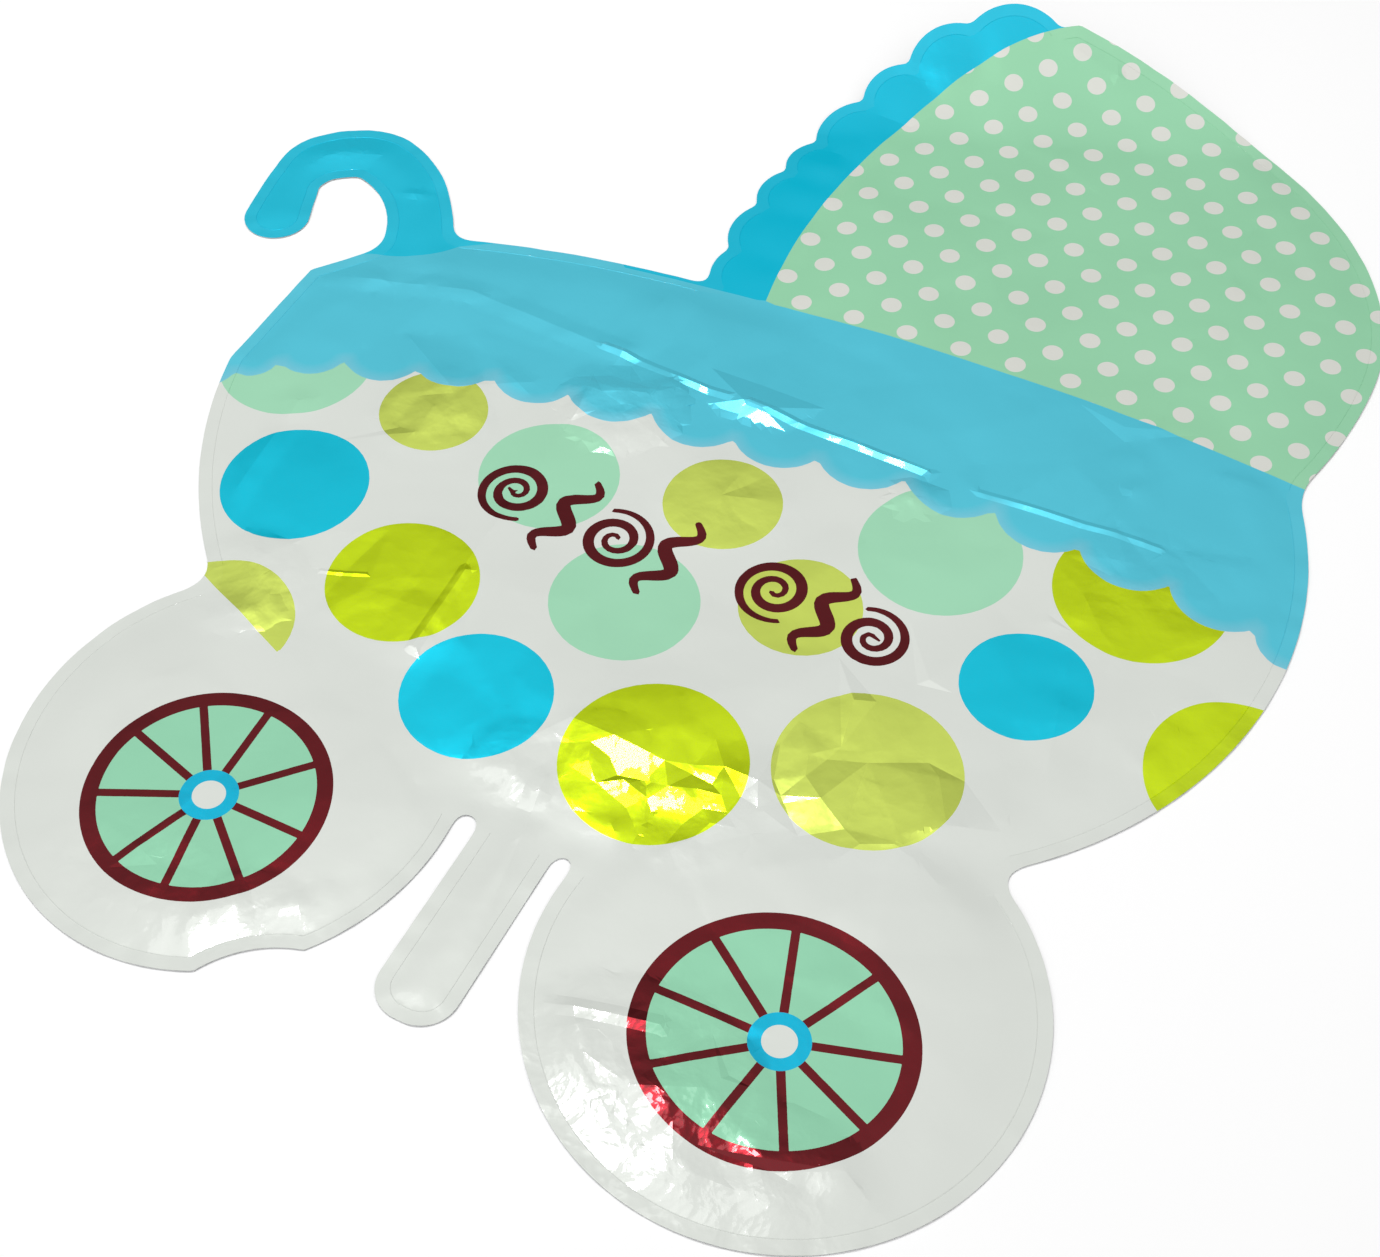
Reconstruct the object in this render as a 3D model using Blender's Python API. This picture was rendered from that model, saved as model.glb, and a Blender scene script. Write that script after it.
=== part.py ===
"""Baby carriage foil balloon, empty and lying on its back.

The balloon is two sheets of film with one outline, sealed together round the rim. All sizes
are in metres. The outline is drawn in the carriage's own plan: X runs from the handle to the
front wheel, Y runs up from the line through the two wheel hubs, and Z is up from the table.
The finished sheets are then moved so that the origin is under the middle of the balloon.
"""
import math

import bmesh
import bpy
import numpy as np
from mathutils import Vector
from mathutils.geometry import delaunay_2d_cdt

# The film is a few hundredths of a millimetre thick, and its solid is thicker to stay sound.
FILM_THICKNESS = 0.0010
FILM_GAP = 0.0003

# Wheel lobes. The rear one is gathered lengthwise, so it is a little narrower.
REAR_LOBE_X = -0.1480
REAR_LOBE_HALF_WIDTH = 0.1115
FRONT_LOBE_X = 0.1430
FRONT_LOBE_HALF_WIDTH = 0.1187
LOBE_Y = 0.0245
LOBE_HALF_HEIGHT = 0.1185
TUCK_CENTRE = (-0.0465, -0.1090)
TUCK_RADIUS = 0.0600

# Body of the carriage: two wide side arcs under a top edge that is nearly straight.
BODY_FRONT_CENTRE = (0.0537, 0.3090)
BODY_FRONT_RADIUS = 0.2330
BODY_BACK_CENTRE = (-0.0347, 0.3248)
BODY_BACK_RADIUS = 0.2852
BODY_BACK_EDGE_X = -0.3105
BODY_CORNER = (-0.3090, 0.3370)
BODY_CORNER_HEADING = 52.0
BODY_TOP_CROWN = (-0.0430, 0.4310)
BODY_TOP_RADIUS = 0.6280
BODY_BOTTOM_Y = 0.0470

# Filling neck, hanging between the wheel lobes.
NECK_X = -0.0053
NECK_HALF_WIDTH = 0.0202
NECK_END_Y = -0.0620
NECK_CORNER_RADIUS = 0.0180

# Hood, and the scalloped trim along its open edge.
HOOD_CENTRE = (0.0100, 0.5200)
HOOD_HALF_LENGTH = 0.2610
HOOD_HEIGHT = 0.2020
HOOD_DROP = 0.2900
HOOD_FOOT_Y = 0.4200
TRIM_CENTRE = (0.0500, 0.5050)
TRIM_INNER_HALF_WIDTH = 0.1180
TRIM_INNER_HALF_HEIGHT = 0.2250
TRIM_WIDTH = 0.0345
TRIM_HEIGHT = 0.0150
TRIM_CUSP_ANGLES = (-18.8, -10.3, 0.0, 8.8, 17.0, 28.4, 38.6, 51.8)
TRIM_TIP_ANGLE = 69.0
TRIM_FOOT_BULGE = 0.16
TRIM_TIP_BULGE = 0.24

# Handle: a stroke of changing width along a hooked line, as (x, y, half width), measured from
# its foot on the body's top edge.
HANDLE_FOOT_X = -0.2620
HANDLE_STROKE = (
    (0.0000, -0.0176, 0.0215),
    (-0.0170, 0.0134, 0.0195),
    (-0.0400, 0.0374, 0.0205),
    (-0.0710, 0.0494, 0.0225),
    (-0.0970, 0.0334, 0.0215),
    (-0.1020, 0.0104, 0.0170),
    (-0.0980, -0.0086, 0.0180),
    (-0.0930, -0.0256, 0.0195),
)
STROKE_STEPS = 8

# Rounding of the inner corners where two shapes meet. Beside the neck it is tighter.
LOBE_FILLET = 0.0180
SLOT_FILLET = 0.0100
SLOT_REACH = 0.0505
HANDLE_FILLET = 0.0120
HOOD_FILLET = 0.0120
SCALLOP_FILLET = 0.0040

# How the empty film lies: flat at the seal, slightly raised by the air left inside, and
# curled up at the tip of the hood.
SEAL_WIDTH = 0.0070
AIR_HEIGHT = 0.0022
AIR_RUN = 0.0300
CURL_HEADING = 111.4
CURL_START = 0.5770
CURL_LENGTH = 0.1020
CURL_HEIGHT = 0.0370
CURL_POWER = 1.63

# Creases left by the packet, as (points, height, half width).
CREASES = (
    (((-0.306, 0.336), (-0.240, 0.345), (-0.114, 0.354)), 0.0022, 0.014),
    (((-0.114, 0.354), (0.020, 0.350), (0.175, 0.350), (0.270, 0.352)), 0.0045, 0.016),
    (((-0.114, 0.418), (-0.114, 0.354), (-0.113, 0.190), (-0.110, 0.122)), 0.0024, 0.014),
    (((0.170, 0.662), (0.174, 0.440), (0.175, 0.350), (0.182, 0.203), (0.185, 0.061)), 0.0024, 0.014),
    (((-0.256, 0.240), (-0.248, 0.150)), 0.0020, 0.012),
)

# Places where the film is crumpled, as (centre, radius, height).
CRUMPLES = (
    ((0.105, -0.045), 0.090, 0.0060),
    ((-0.085, -0.045), 0.050, 0.0050),
    ((0.035, 0.105), 0.060, 0.0045),
    ((0.128, 0.145), 0.055, 0.0030),
    ((-0.090, 0.320), 0.055, 0.0040),
    ((0.050, 0.690), 0.045, 0.0040),
    ((-0.050, 0.665), 0.040, 0.0030),
    ((-0.025, 0.075), 0.040, 0.0035),
)
CRUMPLE_SEED = 7

# Mesh spacing: along the rim, across the film and along a crease, and the room that the points
# across the film leave to the seal and to a crease.
RIM_SPACING = 0.0065
FILM_SPACING = 0.0250
CREASE_SPACING = 0.0200
SEAL_ROOM = 0.0075
CREASE_ROOM = 0.0110

# Search for the rim: the step of the walk round it, the furthest that a point moves at once,
# and the step over which the slope of the depth is taken.
WALK_STEP = 0.0050
LARGEST_MOVE = 0.0100
SLOPE_STEP = 0.0001
SMALLEST_SLOPE = 0.22
PLAN_REACH = 1.0

FILM_SILVER = (0.62, 0.63, 0.64, 1.0)
FILM_WHITE = (0.66, 0.69, 0.66, 1.0)


def disc(x, y, centre, radius):
    """Depth inside a circle: positive inside, negative outside."""
    return radius - np.hypot(x - centre[0], y - centre[1])


def ellipse(x, y, centre, half_width, half_height):
    """Depth inside an ellipse, true to first order near its edge."""
    across = (x - centre[0]) / half_width
    up = (y - centre[1]) / half_height
    reach = np.maximum(np.hypot(across, up), 1e-6)
    slope = np.hypot(across / half_width, up / half_height)
    slope = np.maximum(slope, reach / np.maximum(half_width, half_height))
    return reach * (1 - reach) / slope


def right_of_line(x, y, point, heading):
    """Depth to the right of the line through a point with a heading in degrees from +X."""
    turn = math.radians(heading)
    return (x - point[0]) * math.sin(turn) - (y - point[1]) * math.cos(turn)


def ellipse_point(centre, half_width, half_height, angle):
    """Point on the left half of an ellipse, at an angle above its horizontal axis."""
    turn = math.radians(angle)
    return np.array((centre[0] - half_width * math.cos(turn), centre[1] + half_height * math.sin(turn)))


def joined(first, second, fillet):
    """Union of two depths, with the inner corner between them rounded."""
    overlap = np.maximum(fillet - np.abs(first - second), 0.0)
    return np.maximum(first, second) + overlap ** 2 / (4 * fillet)


def smooth_path(points, steps):
    """Catmull-Rom curve through the rows of a table."""
    rows = np.array(points)
    rows = np.vstack((2 * rows[0] - rows[1], rows, 2 * rows[-1] - rows[-2]))
    path = []
    for before, start, end, after in zip(rows, rows[1:], rows[2:], rows[3:]):
        for t in np.arange(steps) / steps:
            path.append(
                start
                + 0.5 * t * (end - before)
                + t * t * (before - 2.5 * start + 2 * end - 0.5 * after)
                + t ** 3 * 0.5 * (3 * start - before - 3 * end + after)
            )
    path.append(rows[-2])
    return np.array(path)


def scallop_discs():
    """Circles of the trim's scallops: each passes through two cusps and bulges past them."""
    cusps = [
        ellipse_point(
            TRIM_CENTRE, TRIM_INNER_HALF_WIDTH + TRIM_WIDTH, TRIM_INNER_HALF_HEIGHT + TRIM_HEIGHT, angle
        )
        for angle in TRIM_CUSP_ANGLES
    ]
    cusps.append(
        ellipse_point(TRIM_CENTRE, TRIM_INNER_HALF_WIDTH, TRIM_INNER_HALF_HEIGHT, TRIM_TIP_ANGLE)
    )
    discs = []
    bulges = np.linspace(TRIM_FOOT_BULGE, TRIM_TIP_BULGE, len(cusps) - 1)
    for lower, upper, bulge_share in zip(cusps, cusps[1:], bulges):
        chord = upper - lower
        length = np.hypot(*chord)
        bulge = bulge_share * length
        radius = (length ** 2 / 4 + bulge ** 2) / (2 * bulge)
        inward = np.array((chord[1], -chord[0])) / length
        discs.append(((lower + upper) / 2 + inward * (radius - bulge), radius))
    return discs


def handle_discs():
    """Circles of the handle's stroke, set on the body's top edge."""
    foot_y = BODY_TOP_CENTRE[1] + math.sqrt(BODY_TOP_RADIUS ** 2 - (HANDLE_FOOT_X - BODY_TOP_CENTRE[0]) ** 2)
    return smooth_path(HANDLE_STROKE, STROKE_STEPS) + (HANDLE_FOOT_X, foot_y, 0.0)


BODY_TOP_CENTRE = (BODY_TOP_CROWN[0], BODY_TOP_CROWN[1] - BODY_TOP_RADIUS)
TRIM_DISCS = scallop_discs()
HANDLE_DISCS = handle_discs()


def tub_depth(x, y):
    """The carriage's body, without wheels, handle or hood."""
    return np.minimum.reduce(
        (
            np.maximum(disc(x, y, BODY_FRONT_CENTRE, BODY_FRONT_RADIUS), BODY_FRONT_CENTRE[0] - x),
            np.maximum(disc(x, y, BODY_BACK_CENTRE, BODY_BACK_RADIUS), x - BODY_BACK_CENTRE[0]),
            np.maximum(disc(x, y, BODY_TOP_CENTRE, BODY_TOP_RADIUS), x - BODY_TOP_CENTRE[0]),
            x - BODY_BACK_EDGE_X,
            right_of_line(x, y, BODY_CORNER, BODY_CORNER_HEADING),
            y - BODY_BOTTOM_Y,
            HOOD_CENTRE[1] - y,
        )
    )


def neck_depth(x, y):
    """Filling neck: a strip with rounded corners at its end."""
    across = np.abs(x - NECK_X) - (NECK_HALF_WIDTH - NECK_CORNER_RADIUS)
    down = (NECK_END_Y + NECK_CORNER_RADIUS) - y
    corner = np.hypot(np.maximum(across, 0.0), np.maximum(down, 0.0))
    strip = NECK_CORNER_RADIUS - corner - np.minimum(np.maximum(across, down), 0.0)
    return np.minimum(strip, BODY_BOTTOM_Y + NECK_HALF_WIDTH - y)


def handle_depth(x, y):
    """Hooked handle: circles swept along its line."""
    centre_x, centre_y, half_width = HANDLE_DISCS.T
    return np.max(half_width - np.hypot(x[..., None] - centre_x, y[..., None] - centre_y), axis=-1)


def hood_depth(x, y):
    """Hood and the scallops of its trim."""
    opening = np.maximum(
        ellipse(x, y, TRIM_CENTRE, TRIM_INNER_HALF_WIDTH, TRIM_INNER_HALF_HEIGHT), x - TRIM_CENTRE[0]
    )
    dome_height = np.where(y > HOOD_CENTRE[1], HOOD_HEIGHT, HOOD_DROP)
    dome = ellipse(x, y, HOOD_CENTRE, HOOD_HALF_LENGTH, dome_height)
    depth = np.minimum.reduce((dome, opening, y - HOOD_FOOT_Y))
    for centre, radius in TRIM_DISCS:
        scallop = np.minimum(disc(x, y, centre, radius), y - HOOD_FOOT_Y)
        depth = joined(depth, scallop, SCALLOP_FILLET)
    return depth


def carriage_depth(x, y):
    """Distance inside the balloon's rim, in the carriage's plan."""
    rear_lobe = ellipse(x, y, (REAR_LOBE_X, LOBE_Y), REAR_LOBE_HALF_WIDTH, LOBE_HALF_HEIGHT)
    rear_lobe = np.minimum(rear_lobe, -disc(x, y, TUCK_CENTRE, TUCK_RADIUS))
    front_lobe = ellipse(x, y, (FRONT_LOBE_X, LOBE_Y), FRONT_LOBE_HALF_WIDTH, LOBE_HALF_HEIGHT)
    depth = joined(tub_depth(x, y), neck_depth(x, y), SLOT_FILLET)
    for lobe in (rear_lobe, front_lobe):
        fillet = np.where(np.abs(x - NECK_X) < SLOT_REACH, SLOT_FILLET, LOBE_FILLET)
        depth = joined(depth, lobe, fillet)
    depth = joined(depth, handle_depth(x, y), HANDLE_FILLET)
    return joined(depth, hood_depth(x, y), HOOD_FILLET)


def depth_slope(x, y):
    """Gradient of the depth, by central differences."""
    step = SLOPE_STEP
    along_x = (carriage_depth(x + step, y) - carriage_depth(x - step, y)) / (2 * step)
    along_y = (carriage_depth(x, y + step) - carriage_depth(x, y - step)) / (2 * step)
    return along_x, along_y


def onto_rim(x, y, rounds=8):
    """Move points to the rim, along the slope of the depth."""
    for _ in range(rounds):
        along_x, along_y = depth_slope(x, y)
        move = carriage_depth(x, y) / np.maximum(along_x ** 2 + along_y ** 2, SMALLEST_SLOPE ** 2)
        move = np.clip(move, -LARGEST_MOVE, LARGEST_MOVE)
        x, y = x - along_x * move, y - along_y * move
    return x, y


def rim_points(spacing):
    """Walk round the rim from the neck's end, and space the points evenly."""
    start = onto_rim(np.array([NECK_X]), np.array([NECK_END_Y]))
    path = [(float(start[0][0]), float(start[1][0]))]
    while len(path) < 20 or math.dist(path[-1], path[0]) > 0.8 * WALK_STEP:
        x, y = (np.array([value]) for value in path[-1])
        along_x, along_y = depth_slope(x, y)
        size = np.hypot(along_x, along_y)
        x, y = onto_rim(x + WALK_STEP * along_y / size, y - WALK_STEP * along_x / size, 4)
        path.append((float(x[0]), float(y[0])))
    path.append(path[0])
    path = np.array(path)
    travelled = np.concatenate(([0.0], np.cumsum(np.hypot(*np.diff(path, axis=0).T))))
    count = max(round(travelled[-1] / spacing), 60)
    places = np.arange(count) * travelled[-1] / count
    x = np.interp(places, travelled, path[:, 0])
    y = np.interp(places, travelled, path[:, 1])
    return np.column_stack(onto_rim(x, y, 3))


def curl(x, y):
    """Height to which the tip of the hood has curled off the table."""
    turn = math.radians(CURL_HEADING)
    past = np.maximum(x * math.cos(turn) + y * math.sin(turn) - CURL_START, 0.0)
    return CURL_HEIGHT * (past / CURL_LENGTH) ** CURL_POWER


def line_distance(x, y, points):
    """Distance to an open line of points."""
    nearest = np.full(np.shape(x), PLAN_REACH)
    for start, end in zip(points, points[1:]):
        run = np.subtract(end, start)
        share = ((x - start[0]) * run[0] + (y - start[1]) * run[1]) / run.dot(run)
        share = np.clip(share, 0.0, 1.0)
        nearest = np.minimum(nearest, np.hypot(x - start[0] - share * run[0], y - start[1] - share * run[1]))
    return nearest


def front_relief(x, y):
    """Height of the front film above the back film: trapped air, creases and crumples."""
    inside = np.maximum(carriage_depth(x, y) - SEAL_WIDTH, 0.0)
    height = AIR_HEIGHT * (1 - np.exp(-inside / AIR_RUN))
    free = np.minimum(inside / SEAL_WIDTH, 1.0)
    for points, ridge_height, half_width in CREASES:
        away = np.minimum(line_distance(x, y, points) / half_width, 1.0)
        height += free * ridge_height * (1 - away) ** 2
    chance = np.random.RandomState(CRUMPLE_SEED).rand(len(x))
    for centre, radius, crumple_height in CRUMPLES:
        near = np.maximum(1 - np.hypot(x - centre[0], y - centre[1]) / radius, 0.0)
        height += free * crumple_height * near ** 0.5 * chance
    return height


def film_lattice():
    """Plan points of the film inside the rim, in staggered rows."""
    columns = np.arange(-PLAN_REACH, PLAN_REACH, FILM_SPACING)
    rows = np.arange(-PLAN_REACH, PLAN_REACH, FILM_SPACING * math.sqrt(3) / 2)
    x, y = np.meshgrid(columns, rows)
    x = x + (np.arange(len(rows)) % 2)[:, None] * FILM_SPACING / 2
    x, y = x.ravel(), y.ravel()
    keep = carriage_depth(x, y) > SEAL_WIDTH + SEAL_ROOM
    for points, _, _ in CREASES:
        keep &= line_distance(x, y, points) > CREASE_ROOM
    return np.column_stack((x[keep], y[keep]))


def crease_lines():
    """Points along each crease, for edges that follow it."""
    lines = []
    for points, _, _ in CREASES:
        line = []
        for start, end in zip(points, points[1:]):
            pieces = max(round(math.dist(start, end) / CREASE_SPACING), 1)
            line += [tuple(np.add(start, np.subtract(end, start) * step / pieces)) for step in range(pieces)]
        line.append(points[-1])
        lines.append([point for point in line if carriage_depth(*map(np.array, point)) > SEAL_WIDTH])
    return lines


def film_plan():
    """One flat triangulation, shared by the two films: points and triangles."""
    rim = [tuple(point) for point in rim_points(RIM_SPACING)]
    points = rim + [tuple(point) for point in film_lattice()]
    edges = [(index, (index + 1) % len(rim)) for index in range(len(rim))]
    for line in crease_lines():
        first = len(points)
        points += line
        edges += [(first + index, first + index + 1) for index in range(len(line) - 1)]
    result = delaunay_2d_cdt([Vector(point) for point in points], edges, [], 1, 1e-5)
    return np.array([tuple(point) for point in result[0]]), result[2]


def film(name, plan, triangles, underside, colour):
    """Solid sheet of film: the plan raised to its underside, and given its thickness."""
    mesh = bpy.data.meshes.new(name)
    shape = bmesh.new()
    corners = [shape.verts.new((x, y, z)) for (x, y), z in zip(plan, underside)]
    for triangle in triangles:
        shape.faces.new([corners[index] for index in triangle])
    bmesh.ops.recalc_face_normals(shape, faces=shape.faces)
    if sum(face.normal.z for face in shape.faces) > 0:
        bmesh.ops.reverse_faces(shape, faces=shape.faces)
    raised = bmesh.ops.extrude_face_region(shape, geom=shape.faces[:], use_keep_orig=True)
    top = [item for item in raised["geom"] if isinstance(item, bmesh.types.BMVert)]
    bmesh.ops.translate(shape, verts=top, vec=(0.0, 0.0, FILM_THICKNESS))
    bmesh.ops.recalc_face_normals(shape, faces=shape.faces)
    shape.to_mesh(mesh)
    shape.free()
    sheet = bpy.data.objects.new(name, mesh)
    material = bpy.data.materials.new(name)
    material.use_nodes = True
    shader = material.node_tree.nodes["Principled BSDF"]
    shader.inputs["Base Color"].default_value = colour
    shader.inputs["Roughness"].default_value = 0.25
    shader.inputs["Metallic"].default_value = 0.3
    mesh.materials.append(material)
    return sheet


def main():
    for leftover in list(bpy.data.objects):
        bpy.data.objects.remove(leftover)
    balloon = bpy.data.collections.new("baby_carriage_balloon")
    bpy.context.scene.collection.children.link(balloon)

    plan, triangles = film_plan()
    x, y = plan.T
    middle = (plan.min(axis=0) + plan.max(axis=0)) / 2
    lift = curl(x, y)
    front_underside = lift + FILM_THICKNESS + FILM_GAP + front_relief(x, y)
    back_film = film("back_film", plan - middle, triangles, lift, FILM_SILVER)
    front_film = film("front_film", plan - middle, triangles, front_underside, FILM_WHITE)
    for sheet in (back_film, front_film):
        balloon.objects.link(sheet)
    print(f"origin in the carriage's plan: {middle[0]:.4f}, {middle[1]:.4f}")


main()
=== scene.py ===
# %% [markdown]
# # A baby carriage foil balloon, empty and lying on its back
#
# This lesson dresses the plain solids of a foil balloon. The real object is two sheets of
# metallised film, cut to one outline and heat-sealed round the rim. The front sheet is printed,
# the back sheet is plain silver. The balloon is empty, so what shows is the print, the shine of
# the film and the creases that folding has left in it.
#
# Everything is drawn in the carriage's own plan, in metres: X runs from the handle to the front
# wheel, Y runs up from the line through the wheel hubs, and Z is up from the table. The solids
# come first, because every new piece has to lie where they lie.

# %% Load the solids
import math

import bpy
import numpy as np
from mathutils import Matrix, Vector
from mathutils.bvhtree import BVHTree
from mathutils.geometry import delaunay_2d_cdt
from mathutils.kdtree import KDTree


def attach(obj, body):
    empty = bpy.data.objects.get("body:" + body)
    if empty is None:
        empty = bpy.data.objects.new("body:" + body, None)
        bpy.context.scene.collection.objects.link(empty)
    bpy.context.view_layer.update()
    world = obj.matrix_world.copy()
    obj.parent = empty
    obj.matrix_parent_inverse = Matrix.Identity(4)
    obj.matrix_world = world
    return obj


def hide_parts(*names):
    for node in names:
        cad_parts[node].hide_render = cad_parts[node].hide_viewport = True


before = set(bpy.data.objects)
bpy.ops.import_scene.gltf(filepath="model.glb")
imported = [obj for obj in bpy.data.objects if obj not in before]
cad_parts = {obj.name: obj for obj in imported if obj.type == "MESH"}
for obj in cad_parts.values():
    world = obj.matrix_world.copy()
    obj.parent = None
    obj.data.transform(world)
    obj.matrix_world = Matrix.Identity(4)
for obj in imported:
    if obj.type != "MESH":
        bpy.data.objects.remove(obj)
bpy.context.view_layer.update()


def placed(name, data):
    """New object at the origin of the scene."""
    made = bpy.data.objects.new(name, data)
    bpy.context.scene.collection.objects.link(made)
    return made


# %% [markdown]
# ## The outline
#
# A cut sheet could be traced as a long list of points. A few named shapes say more: each shape
# is a function that gives the depth of a point inside it, positive inside and negative outside.
# The larger of two depths is the union of two shapes, the smaller one is their overlap, and a
# small rounding where they meet gives the fillet that a cutting die has. The same depth later
# tells how far a point lies from the seal.

# %% Sizes of the outline
REAR_LOBE = ((-0.1480, 0.0245), 0.1115, 0.1185)
FRONT_LOBE = ((0.1430, 0.0245), 0.1187, 0.1185)
TUCK = ((-0.0465, -0.1090), 0.0600)
BODY_FRONT = ((0.0537, 0.3090), 0.2330)
BODY_BACK = ((-0.0347, 0.3248), 0.2852)
BODY_BACK_EDGE_X = -0.3105
BODY_CORNER = (-0.3090, 0.3370)
BODY_CORNER_HEADING = 52.0
BODY_TOP = ((-0.0430, -0.1970), 0.6280)
BODY_BOTTOM_Y = 0.0470
NECK_X = -0.0053
NECK_HALF_WIDTH = 0.0202
NECK_END_Y = -0.0620
NECK_CORNER_RADIUS = 0.0180
HOOD_CENTRE = (0.0100, 0.5200)
HOOD_HALF_LENGTH = 0.2610
HOOD_HEIGHT = 0.2020
HOOD_DROP = 0.2900
HOOD_FOOT_Y = 0.4200
TRIM_CENTRE = (0.0500, 0.5050)
TRIM_INNER_HALF_WIDTH = 0.1180
TRIM_INNER_HALF_HEIGHT = 0.2250
TRIM_WIDTH = 0.0345
TRIM_HEIGHT = 0.0150
TRIM_CUSP_ANGLES = (-18.8, -10.3, 0.0, 8.8, 17.0, 28.4, 38.6, 51.8)
TRIM_TIP_ANGLE = 69.0
TRIM_FOOT_BULGE = 0.16
TRIM_TIP_BULGE = 0.24
HANDLE_FOOT_X = -0.2620
HANDLE_STROKE = (
    (0.0000, -0.0176, 0.0215),
    (-0.0170, 0.0134, 0.0195),
    (-0.0400, 0.0374, 0.0205),
    (-0.0710, 0.0494, 0.0225),
    (-0.0970, 0.0334, 0.0215),
    (-0.1020, 0.0104, 0.0170),
    (-0.0980, -0.0086, 0.0180),
    (-0.0930, -0.0256, 0.0195),
)
STROKE_STEPS = 8
LOBE_FILLET = 0.0180
SLOT_FILLET = 0.0100
SLOT_REACH = 0.0505
HANDLE_FILLET = 0.0120
HOOD_FILLET = 0.0120
SCALLOP_FILLET = 0.0040
TINY = 1e-6


# %% Depth inside simple shapes
def disc(x, y, centre, radius):
    """Depth inside a circle."""
    return radius - np.hypot(x - centre[0], y - centre[1])


def ellipse(x, y, centre, half_width, half_height):
    """Depth inside an ellipse, true to first order near its edge."""
    across = (x - centre[0]) / half_width
    up = (y - centre[1]) / half_height
    reach = np.maximum(np.hypot(across, up), TINY)
    slope = np.hypot(across / half_width, up / half_height)
    slope = np.maximum(slope, reach / np.maximum(half_width, half_height))
    return reach * (1 - reach) / slope


def right_of_line(x, y, point, heading):
    """Depth to the right of a line through a point, with a heading in degrees from +X."""
    turn = math.radians(heading)
    return (x - point[0]) * math.sin(turn) - (y - point[1]) * math.cos(turn)


def joined(first, second, fillet):
    """Union of two depths, with the inner corner between them rounded."""
    overlap = np.maximum(fillet - np.abs(first - second), 0.0)
    return np.maximum(first, second) + overlap ** 2 / (4 * fillet)


def bulging_disc(start, end, bulge):
    """Circle through two cusps that stands out to the left of the way between them."""
    chord = np.subtract(end, start)
    length = np.hypot(*chord)
    radius = (length ** 2 / 4 + bulge ** 2) / (2 * bulge)
    inward = np.array((chord[1], -chord[0])) / length
    return (np.add(start, end) / 2 + inward * (radius - bulge), radius)


def smooth_path(points, steps):
    """Smooth curve through the rows of a table."""
    rows = np.array(points)
    rows = np.vstack((2 * rows[0] - rows[1], rows, 2 * rows[-1] - rows[-2]))
    path = []
    for before, start, end, after in zip(rows, rows[1:], rows[2:], rows[3:]):
        for t in np.arange(steps) / steps:
            path.append(
                start
                + 0.5 * t * (end - before)
                + t * t * (before - 2.5 * start + 2 * end - 0.5 * after)
                + t ** 3 * 0.5 * (3 * start - before - 3 * end + after)
            )
    path.append(rows[-2])
    return np.array(path)


def stroke(x, y, path):
    """Depth inside a stroke: circles (x, y, radius) swept along a path."""
    centre_x, centre_y, radius = path.T
    return np.max(radius - np.hypot(x[..., None] - centre_x, y[..., None] - centre_y), axis=-1)


# %% The carriage's shapes
def trim_cusp(angle, width, height):
    """Point on the trim, at an angle above the horizontal axis of the hood's opening."""
    turn = math.radians(angle)
    return (
        TRIM_CENTRE[0] - (TRIM_INNER_HALF_WIDTH + width) * math.cos(turn),
        TRIM_CENTRE[1] + (TRIM_INNER_HALF_HEIGHT + height) * math.sin(turn),
    )


trim_cusps = [trim_cusp(angle, TRIM_WIDTH, TRIM_HEIGHT) for angle in TRIM_CUSP_ANGLES]
trim_cusps.append(trim_cusp(TRIM_TIP_ANGLE, 0.0, 0.0))
trim_bulges = np.linspace(TRIM_FOOT_BULGE, TRIM_TIP_BULGE, len(trim_cusps) - 1)
TRIM_DISCS = [
    bulging_disc(start, end, share * math.dist(start, end))
    for start, end, share in zip(trim_cusps, trim_cusps[1:], trim_bulges)
]
handle_foot_y = BODY_TOP[0][1] + math.sqrt(BODY_TOP[1] ** 2 - (HANDLE_FOOT_X - BODY_TOP[0][0]) ** 2)
HANDLE_PATH = smooth_path(HANDLE_STROKE, STROKE_STEPS) + (HANDLE_FOOT_X, handle_foot_y, 0.0)


def tub_depth(x, y):
    """The carriage's body, without wheels, handle or hood."""
    return np.minimum.reduce(
        (
            np.maximum(disc(x, y, *BODY_FRONT), BODY_FRONT[0][0] - x),
            np.maximum(disc(x, y, *BODY_BACK), x - BODY_BACK[0][0]),
            np.maximum(disc(x, y, *BODY_TOP), x - BODY_TOP[0][0]),
            x - BODY_BACK_EDGE_X,
            right_of_line(x, y, BODY_CORNER, BODY_CORNER_HEADING),
            y - BODY_BOTTOM_Y,
            HOOD_CENTRE[1] - y,
        )
    )


def neck_depth(x, y):
    """Filling neck: a strip with rounded corners at its end."""
    across = np.abs(x - NECK_X) - (NECK_HALF_WIDTH - NECK_CORNER_RADIUS)
    down = (NECK_END_Y + NECK_CORNER_RADIUS) - y
    corner = np.hypot(np.maximum(across, 0.0), np.maximum(down, 0.0))
    strip = NECK_CORNER_RADIUS - corner - np.minimum(np.maximum(across, down), 0.0)
    return np.minimum(strip, BODY_BOTTOM_Y + NECK_HALF_WIDTH - y)


def opening_depth(x, y):
    """Inside of the hood's trim: the part of the hood that the canopy's print covers."""
    mouth = ellipse(x, y, TRIM_CENTRE, TRIM_INNER_HALF_WIDTH, TRIM_INNER_HALF_HEIGHT)
    return np.maximum(mouth, x - TRIM_CENTRE[0])


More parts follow.
